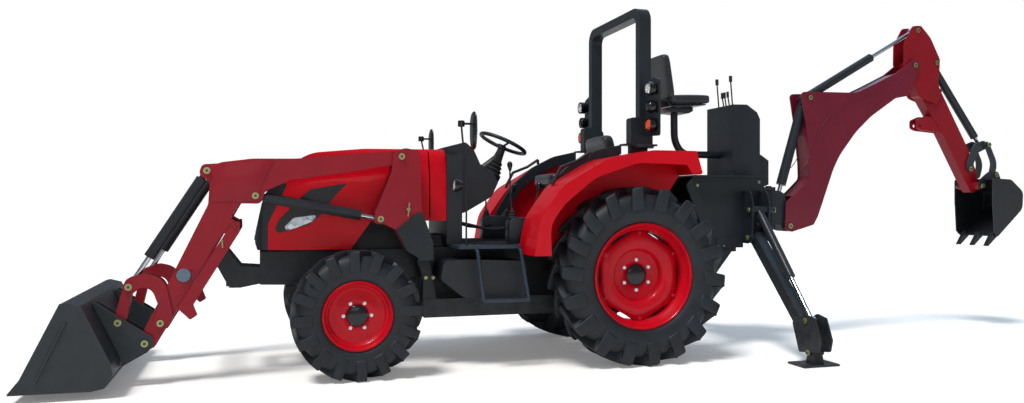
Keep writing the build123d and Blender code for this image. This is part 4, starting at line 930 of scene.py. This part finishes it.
for hand, sign in sides:
    built = []
    for z, radius, length, glass, mirror in rollBarLamps:
        built += rollBarLamp(fromAxle(-0.165, sign * 0.685, z), radius, length, glass, mirror)
    x, y, z = dashLamp["place"]
    built += lamp(fromAxle(x, sign * y, z), dashLamp["housing"], dashLamp["lens"], dashLamp["reflector"],
                  clearLens, chrome)
    built.append(tube("dashLampArm", onSide(dashLamp["arm"], sign), 0.009, blackPlastic))
    lamps = joined("lamps" + hand, built)
    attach(lamps, "tractor")
    if sign > 0:
        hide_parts("lamps")

# Bonnet, fenders and headlamps: the CAD's own forms, with smooth curves and larger lamp lenses

# a headlamp part shorter than "longest" is a lens
lensGrowth = {"longest": 0.30, "length": 1.30, "height": 1.18, "proud": 0.001, "taper": 0.22}
islandMerge = 0.00002
shells = {
    # name, paint, slot, body
    "bonnet": ("bonnetShell", bodyRed, "red_body", "hood"),
    "body_panels": ("body_panelsShell", bodyRed, "red_body", "tractor"),
    "headlamps": ("headlampUnits", smoothPlastic, "lamp_plastic", "hood"),
}


def islands(node):  # the closed solids in a CAD node, as copies with their doubles merged
    shape = bmesh.new()
    shape.from_mesh(nodes[node].data)
    bmesh.ops.remove_doubles(shape, verts=shape.verts, dist=islandMerge)
    seen, parts = set(), []
    for start in shape.verts:
        if start in seen:
            continue
        stack, group = [start], []
        seen.add(start)
        while stack:
            vertex = stack.pop()
            group.append(vertex)
            fresh = {edge.other_vert(vertex) for edge in vertex.link_edges} - seen
            seen |= fresh
            stack += sorted(fresh, key=lambda v: v.index)
        rank = {vertex: i for i, vertex in enumerate(group)}
        faces = sorted({face for vertex in group for face in vertex.link_faces}, key=lambda f: f.index)
        mesh = bpy.data.meshes.new(node)
        mesh.from_pydata([tuple(v.co) for v in group], [], [[rank[v] for v in face.verts] for face in faces])
        shaded(mesh, 25)
        parts.append(mesh)
    shape.free()
    return parts


def grownLens(mesh):
    centre = sum((v.co for v in mesh.vertices), Vector()) / len(mesh.vertices)
    sign = 1 if centre.y > 0 else -1
    for vertex in mesh.vertices:
        x = centre.x + lensGrowth["length"] * (vertex.co.x - centre.x)
        vertex.co.y += sign * (lensGrowth["proud"] - lensGrowth["taper"] * max(0, x - vertex.co.x))
        vertex.co.x = x
        vertex.co.z = centre.z + lensGrowth["height"] * (vertex.co.z - centre.z)


for node, (name, paint, slot, body) in shells.items():
    parts = []
    for mesh in islands(node):
        xs = [vertex.co.x for vertex in mesh.vertices]
        isLens = node == "headlamps" and max(xs) - min(xs) < lensGrowth["longest"]
        if isLens:
            grownLens(mesh)
        # headlamp lenses take bright and dark painted reflections on their facets
        mesh.materials.append(paintedReflectionLens if isLens else paint)
        parts.append(newObject("part", mesh))
    whole = joined(name, parts)
    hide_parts(node)
    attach(whole, body)
print("lamps and shells are on")

# Pedals, consoles with levers, and mirrors

pedals = {
    "pads": ((0.870, 0.235), (0.930, 0.120), (0.880, -0.235)),
    "back": -0.03, "front": 0.04, "half": 0.03, "low": 0.990, "high": 1.004,
    "firstRib": -0.022, "ribStep": 0.013, "ribWidth": 0.005, "ribHalf": 0.026, "ribs": 5,
}
consoles = {
    "x": (0.640, 0.905), "y": (0.330, 0.435), "floor": 0.8857, "top": 1.080, "leverY": 0.380,
    "levers": ((0.862, (0.868, 0.330, 1.466)), (0.700, (0.636, 0.326, 1.312))),  # foot x, tip
    "gaiter": [(0, 0.034), (0.012, 0.034), (0.020, 0.026), (0.030, 0.030), (0.040, 0.020), (0.050, 0.024),
               (0.062, 0.013), (0.075, 0.009), (0.085, 0.0)],
    "knob": [(-0.040, 0.0), (-0.038, 0.008), (-0.020, 0.014), (0.010, 0.021), (0.026, 0.018), (0.034, 0.010),
             (0.036, 0.0)],
}
built = []
for x, y in pedals["pads"]:
    built.append(tube("arm", [(1.220, y, 1.040), (1.120, y, 1.020), (1.020, y, 0.985), (x + 0.02, y, 0.992)],
                      0.009, framePaint))
    pad = rectangle(x + pedals["back"], x + pedals["front"], y - pedals["half"], y + pedals["half"])
    built.append(loftedPlate("pad", pad, pedals["low"], pedals["high"], matRubber, 0.004, "xy"))
    for i in range(pedals["ribs"]):
        back = x + pedals["firstRib"] + pedals["ribStep"] * i
        rib = rectangle(back, back + pedals["ribWidth"], y - pedals["ribHalf"], y + pedals["ribHalf"])
        high = pedals["high"]
        built.append(loftedPlate("rib", rib, high - 0.001, high + 0.004, matRubber, 0.0, "xy"))
for _, sign in sides:
    x0, x1 = consoles["x"]
    y0, y1 = sorted(sign * y for y in consoles["y"])
    top, ground = consoles["top"], consoles["floor"]
    console = [(x0, ground), (x1, ground), (x1, top - 0.03), (x1 - 0.04, top), (x0 + 0.02, top),
               (x0, top - 0.03)]
    built.append(loftedPlate("console", console, y0, y1, blackPlastic, 0.010))
    for footX, (tipX, tipY, tipZ) in consoles["levers"]:
        foot, tip = Vector((footX, sign * consoles["leverY"], top - 0.012)), Vector((tipX, sign * tipY, tipZ))
        bend = foot.lerp(tip, 0.5) + Vector((0.01, 0, 0))
        built.append(turned(consoles["gaiter"], fromAxle(*foot), tip - foot, 24, "gaiter", matRubber))
        built.append(tube("lever", [foot, bend, tip - Vector((0, 0, 0.02))], 0.006, framePaint))
        built.append(turned(consoles["knob"], fromAxle(*tip), tip - foot, 24, "knob", smoothPlastic))
driverControls = joined("driverControls", built)
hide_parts("controls")
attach(driverControls, "tractor")

mirrorLook = {
    "middle": (1.252, 0.740, 1.690), "half": (0.075, 0.134), "square": 3, "bulge": (0.006, 0.020),
    "glassShare": (0.88, 0.90), "rows": 20, "columns": 36, "armRadius": 0.007,
    "joint": [(-0.022, 0.0), (-0.022, 0.020), (-0.018, 0.024), (0.016, 0.024), (0.021, 0.020), (0.021, 0.0)],
    "arm": [(1.342, 0.740, 1.737), (1.330, 0.720, 1.640), (1.290, 0.640, 1.500), (1.262, 0.560, 1.420),
            (1.262, 0.560, 1.150), (1.262, 0.560, 0.886)],
}
for hand, sign in sides:
    cx, cy, cz = mirrorLook["middle"]
    wide, high = mirrorLook["half"]
    rows, columns = mirrorLook["rows"], mirrorLook["columns"]
    ring = [squaredCircle(2 * pi * j / columns, mirrorLook["square"]) for j in range(columns)]
    points = []
    for i in range(rows + 1):
        a = pi * i / rows - pi / 2
        flat = min(cos(a) ** 0.6, 1)
        x = cx + sin(a) * mirrorLook["bulge"][sin(a) > 0]
        points += [fromAxle(x, sign * (cy + wide * c * flat), cz + high * s * flat) for c, s in ring]
    head = addMesh("head", points, gridFaces(rows + 1, columns, closeColumns=True), smoothPlastic, 60)
    shareY, shareZ = mirrorLook["glassShare"]
    outline = [(sign * cy + shareY * wide * c, cz + shareZ * high * s) for c, s in ring]
    glass = loftedPlate("glass", outline, cx - 0.0085, cx - 0.005, chrome, 0.0, "yz")
    arm = onSide(mirrorLook["arm"], sign)
    kx, ky, kz = arm[0]
    neck = tube("neck", [(cx + 0.015, ky, kz), arm[0]], 0.008, smoothPlastic)
    joint = turned(mirrorLook["joint"], fromAxle(kx, ky, kz), (0, 0, 1), 24, "joint", smoothPlastic)
    bar = tube("arm", arm, mirrorLook["armRadius"], framePaint, 12, 8)
    mirror = joined("mirror" + hand, [head, glass, neck, joint, bar])
    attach(mirror, "tractor")
print("controls and mirrors are on")

# Step treads and platform mat: rows of raised ribs

ribRows = {
    # ribs, start, step along x, rib size, finish
    "stepTreadLeft": (9, (0.850, 0.628, 0.4955), 0.036, (0.012, 0.070, 0.004), framePaint),
    "stepTreadRight": (9, (0.850, -0.628, 0.4955), 0.036, (0.012, 0.070, 0.004), framePaint),
    "platformMat": (14, (0.550, 0, 0.8885), 0.052, (0.030, 0.90, 0.006), matRubber),
}
for name, (count, start, step, size, finish) in ribRows.items():
    holder = newObject(name, bpy.data.meshes.new(name))
    runTree(holder, ribTree, {"Ribs": count, "Start": tuple(fromAxle(*start)), "Step": (step, 0, 0),
                              "Rib Size": size, "Finish": finish})
    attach(holder, "tractor")
print("treads are on")

# Foot plates of the roll bar

rollBarFoot = {"place": (-0.155, 0.462, 1.622),
               "profile": [(-0.012, 0.0), (-0.012, 0.092), (-0.008, 0.096), (0.008, 0.096), (0.012, 0.092),
                           (0.012, 0.0)]}
for hand, sign in sides:
    x, y, z = rollBarFoot["place"]
    foot = turned(rollBarFoot["profile"], fromAxle(x, sign * y, z), (0, 0, 1), 40, "rollBarFoot" + hand,
                  framePaint)
    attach(foot, "tractor")

# Red cowl band, which closes the CAD's openings at its rounded shoulders

cowlBand = {"low": 1.058, "waist": 1.370, "top": 1.588, "half": 0.330, "shoulder": 0.270, "round": 0.090,
            "front": 1.4768, "rear": 1.3566, "wall": 0.004, "proud": 0.0006, "middle": 1.25}


def roundedCorner(before, corner, after, radius, steps=8):
    inward, outward = (before - corner).normalized(), (after - corner).normalized()
    spread = inward.angle(outward)
    centre = corner + (inward + outward).normalized() * radius / sin(spread / 2)
    start = corner + inward * radius / tan(spread / 2) - centre
    end = corner + outward * radius / tan(spread / 2) - centre
    arc = start.angle(end)
    shares = [i / steps for i in range(steps + 1)]
    return [centre + (start * sin((1 - share) * arc) + end * sin(share * arc)) / sin(arc) for share in shares]


def bandOutline(look):
    waist = Vector((look["half"], look["waist"]))
    corner, top = Vector((look["shoulder"], look["top"])), Vector((0, look["top"]))
    half = [Vector((look["half"], look["low"])), waist] + roundedCorner(waist, corner, top, look["round"])
    return half + [Vector((-spot.x, spot.y)) for spot in reversed(half)]


points = []
outline = bandOutline(cowlBand)
bandMiddle = Vector((0, cowlBand["middle"]))
for spot in outline:
    spoke = spot - bandMiddle
    inner = bandMiddle + spoke * (1 - cowlBand["wall"] / cowlBand["half"])
    outer = spot + spoke.normalized() * cowlBand["proud"]
    for x, place in (("front", inner), ("front", outer), ("rear", outer), ("rear", inner)):
        points.append(fromAxle(cowlBand[x], place.x, place.y))
last = len(points) - 4
closing = [(0, 1, 2, 3), tuple(range(last, last + 4))]
faces = gridFaces(len(outline), 4, closeColumns=True) + closing
bandCover = addMesh("cowlBand", points, faces, bodyRed, 30)
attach(bandCover, "tractor")

# Weld seams of the boom's gusset

boomSeam = {"side": 0.0895, "radius": 0.0035,
            "route": [(-1.857, 1.474), (-1.955, 1.552), (-2.005, 1.726), (-2.114, 1.923), (-2.287, 2.064),
                      (-2.486, 2.130), (-2.676, 2.206), (-2.868, 2.324), (-3.000, 2.420)]}
for hand, sign in sides:
    route = [(x, sign * boomSeam["side"], z) for x, z in boomSeam["route"]]
    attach(tube("boomSeam" + hand, route, boomSeam["radius"], boomRed, 8, 4), "boom")

# Steering column boot

columnBoot = {"foot": (0.930, 0, 1.405), "axis": (-0.410, 0, 0.912),
              "profile": [(-0.030, 0.078), (0.018, 0.080), (0.032, 0.064), (0.048, 0.072), (0.064, 0.056),
                          (0.080, 0.064), (0.096, 0.048), (0.112, 0.055), (0.130, 0.040), (0.180, 0.034),
                          (0.235, 0.030), (0.237, 0.0)]}
boot = turned(columnBoot["profile"], fromAxle(*columnBoot["foot"]), columnBoot["axis"], 32, "columnBoot",
              matRubber)
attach(boot, "tractor")

# Camera, floor and light

view = {"place": fromAxle(2.692, 6.385, 1.199), "turn": 163.09, "lens": 29.494, "sensor": 36}
camera = newObject("camera", bpy.data.cameras.new("camera"))
camera.data.sensor_width = view["sensor"]
camera.data.lens = view["lens"]
camera.location = view["place"]
camera.rotation_euler = (radians(90), 0, radians(view["turn"]))
scene.camera = camera

studio = {"floor": 400, "floorPaint": "#fffcf7", "floorLift": 0.16, "white": "#ffffff", "sky": "#e3ecf8",
          "world": 0.30}
floorMesh = bpy.data.meshes.new("floor")
span = studio["floor"] / 2
corners = [(x, y, 0) for x, y in rectangle(-span, span, -span, span)]
floorMesh.from_pydata(corners, [], [(0, 1, 2, 3)])
floor = newObject("floor", floorMesh)
floorPaint, tree, shader, place = newMaterial("paleFloor")
rays = addNode(tree, "ShaderNodeLightPath").outputs
lift = calculated(tree, "MULTIPLY", rays["Is Camera Ray"], studio["floorLift"])
matt = {"Base Color": linear(studio["floorPaint"]), "Roughness": 1.0, "Specular IOR Level": 0.0,
        "Emission Color": linear(studio["white"])}
setInputs(tree, shader, matt, {"Emission Strength": lift})
floorMesh.materials.append(floorPaint)

lights = {
    # kind, place, target, settings
    "sun": ("SUN", (3.2, 2.2, 7.5), (0, 0, 0), {"energy": 2.5, "angle": radians(16)}),
    "blueSky": ("AREA", (-5.5, -3.0, 7.0), (0.5, 0, 0.8),
                {"energy": 190, "color": (0.36, 0.66, 1.0), "shape": "RECTANGLE", "size": 9.0,
                 "size_y": 5.0}),
    "sideLight": ("AREA", (3.0, 9.0, 3.6), (0, 0, 0.9),
                  {"energy": 60, "shape": "RECTANGLE", "size": 5.0, "size_y": 2.4}),
}
for name, (kind, place, target, settings) in lights.items():
    light = bpy.data.lights.new(name, kind)
    for key, value in settings.items():
        setattr(light, key, value)
    holder = newObject(name, light)
    holder.location = place
    holder.rotation_euler = (Vector(target) - Vector(place)).to_track_quat("-Z", "Y").to_euler()

world = bpy.data.worlds.new("studioWorld")
scene.world = world
world.use_nodes = True
tree = world.node_tree
tree.nodes.clear()
rays = addNode(tree, "ShaderNodeLightPath").outputs
seen = calculated(tree, "MAXIMUM", rays["Is Camera Ray"], rays["Is Transmission Ray"])
sky = colourMix(tree, seen, studio["sky"], studio["white"])
background = addNode(tree, "ShaderNodeBackground", links={
    "Strength": ranged(tree, seen, toLow=studio["world"]), "Color": sky})
addNode(tree, "ShaderNodeOutputWorld", links={"Surface": background.outputs["Background"]})
scene.view_settings.view_transform = "Standard"
print("camera, floor and light are set")
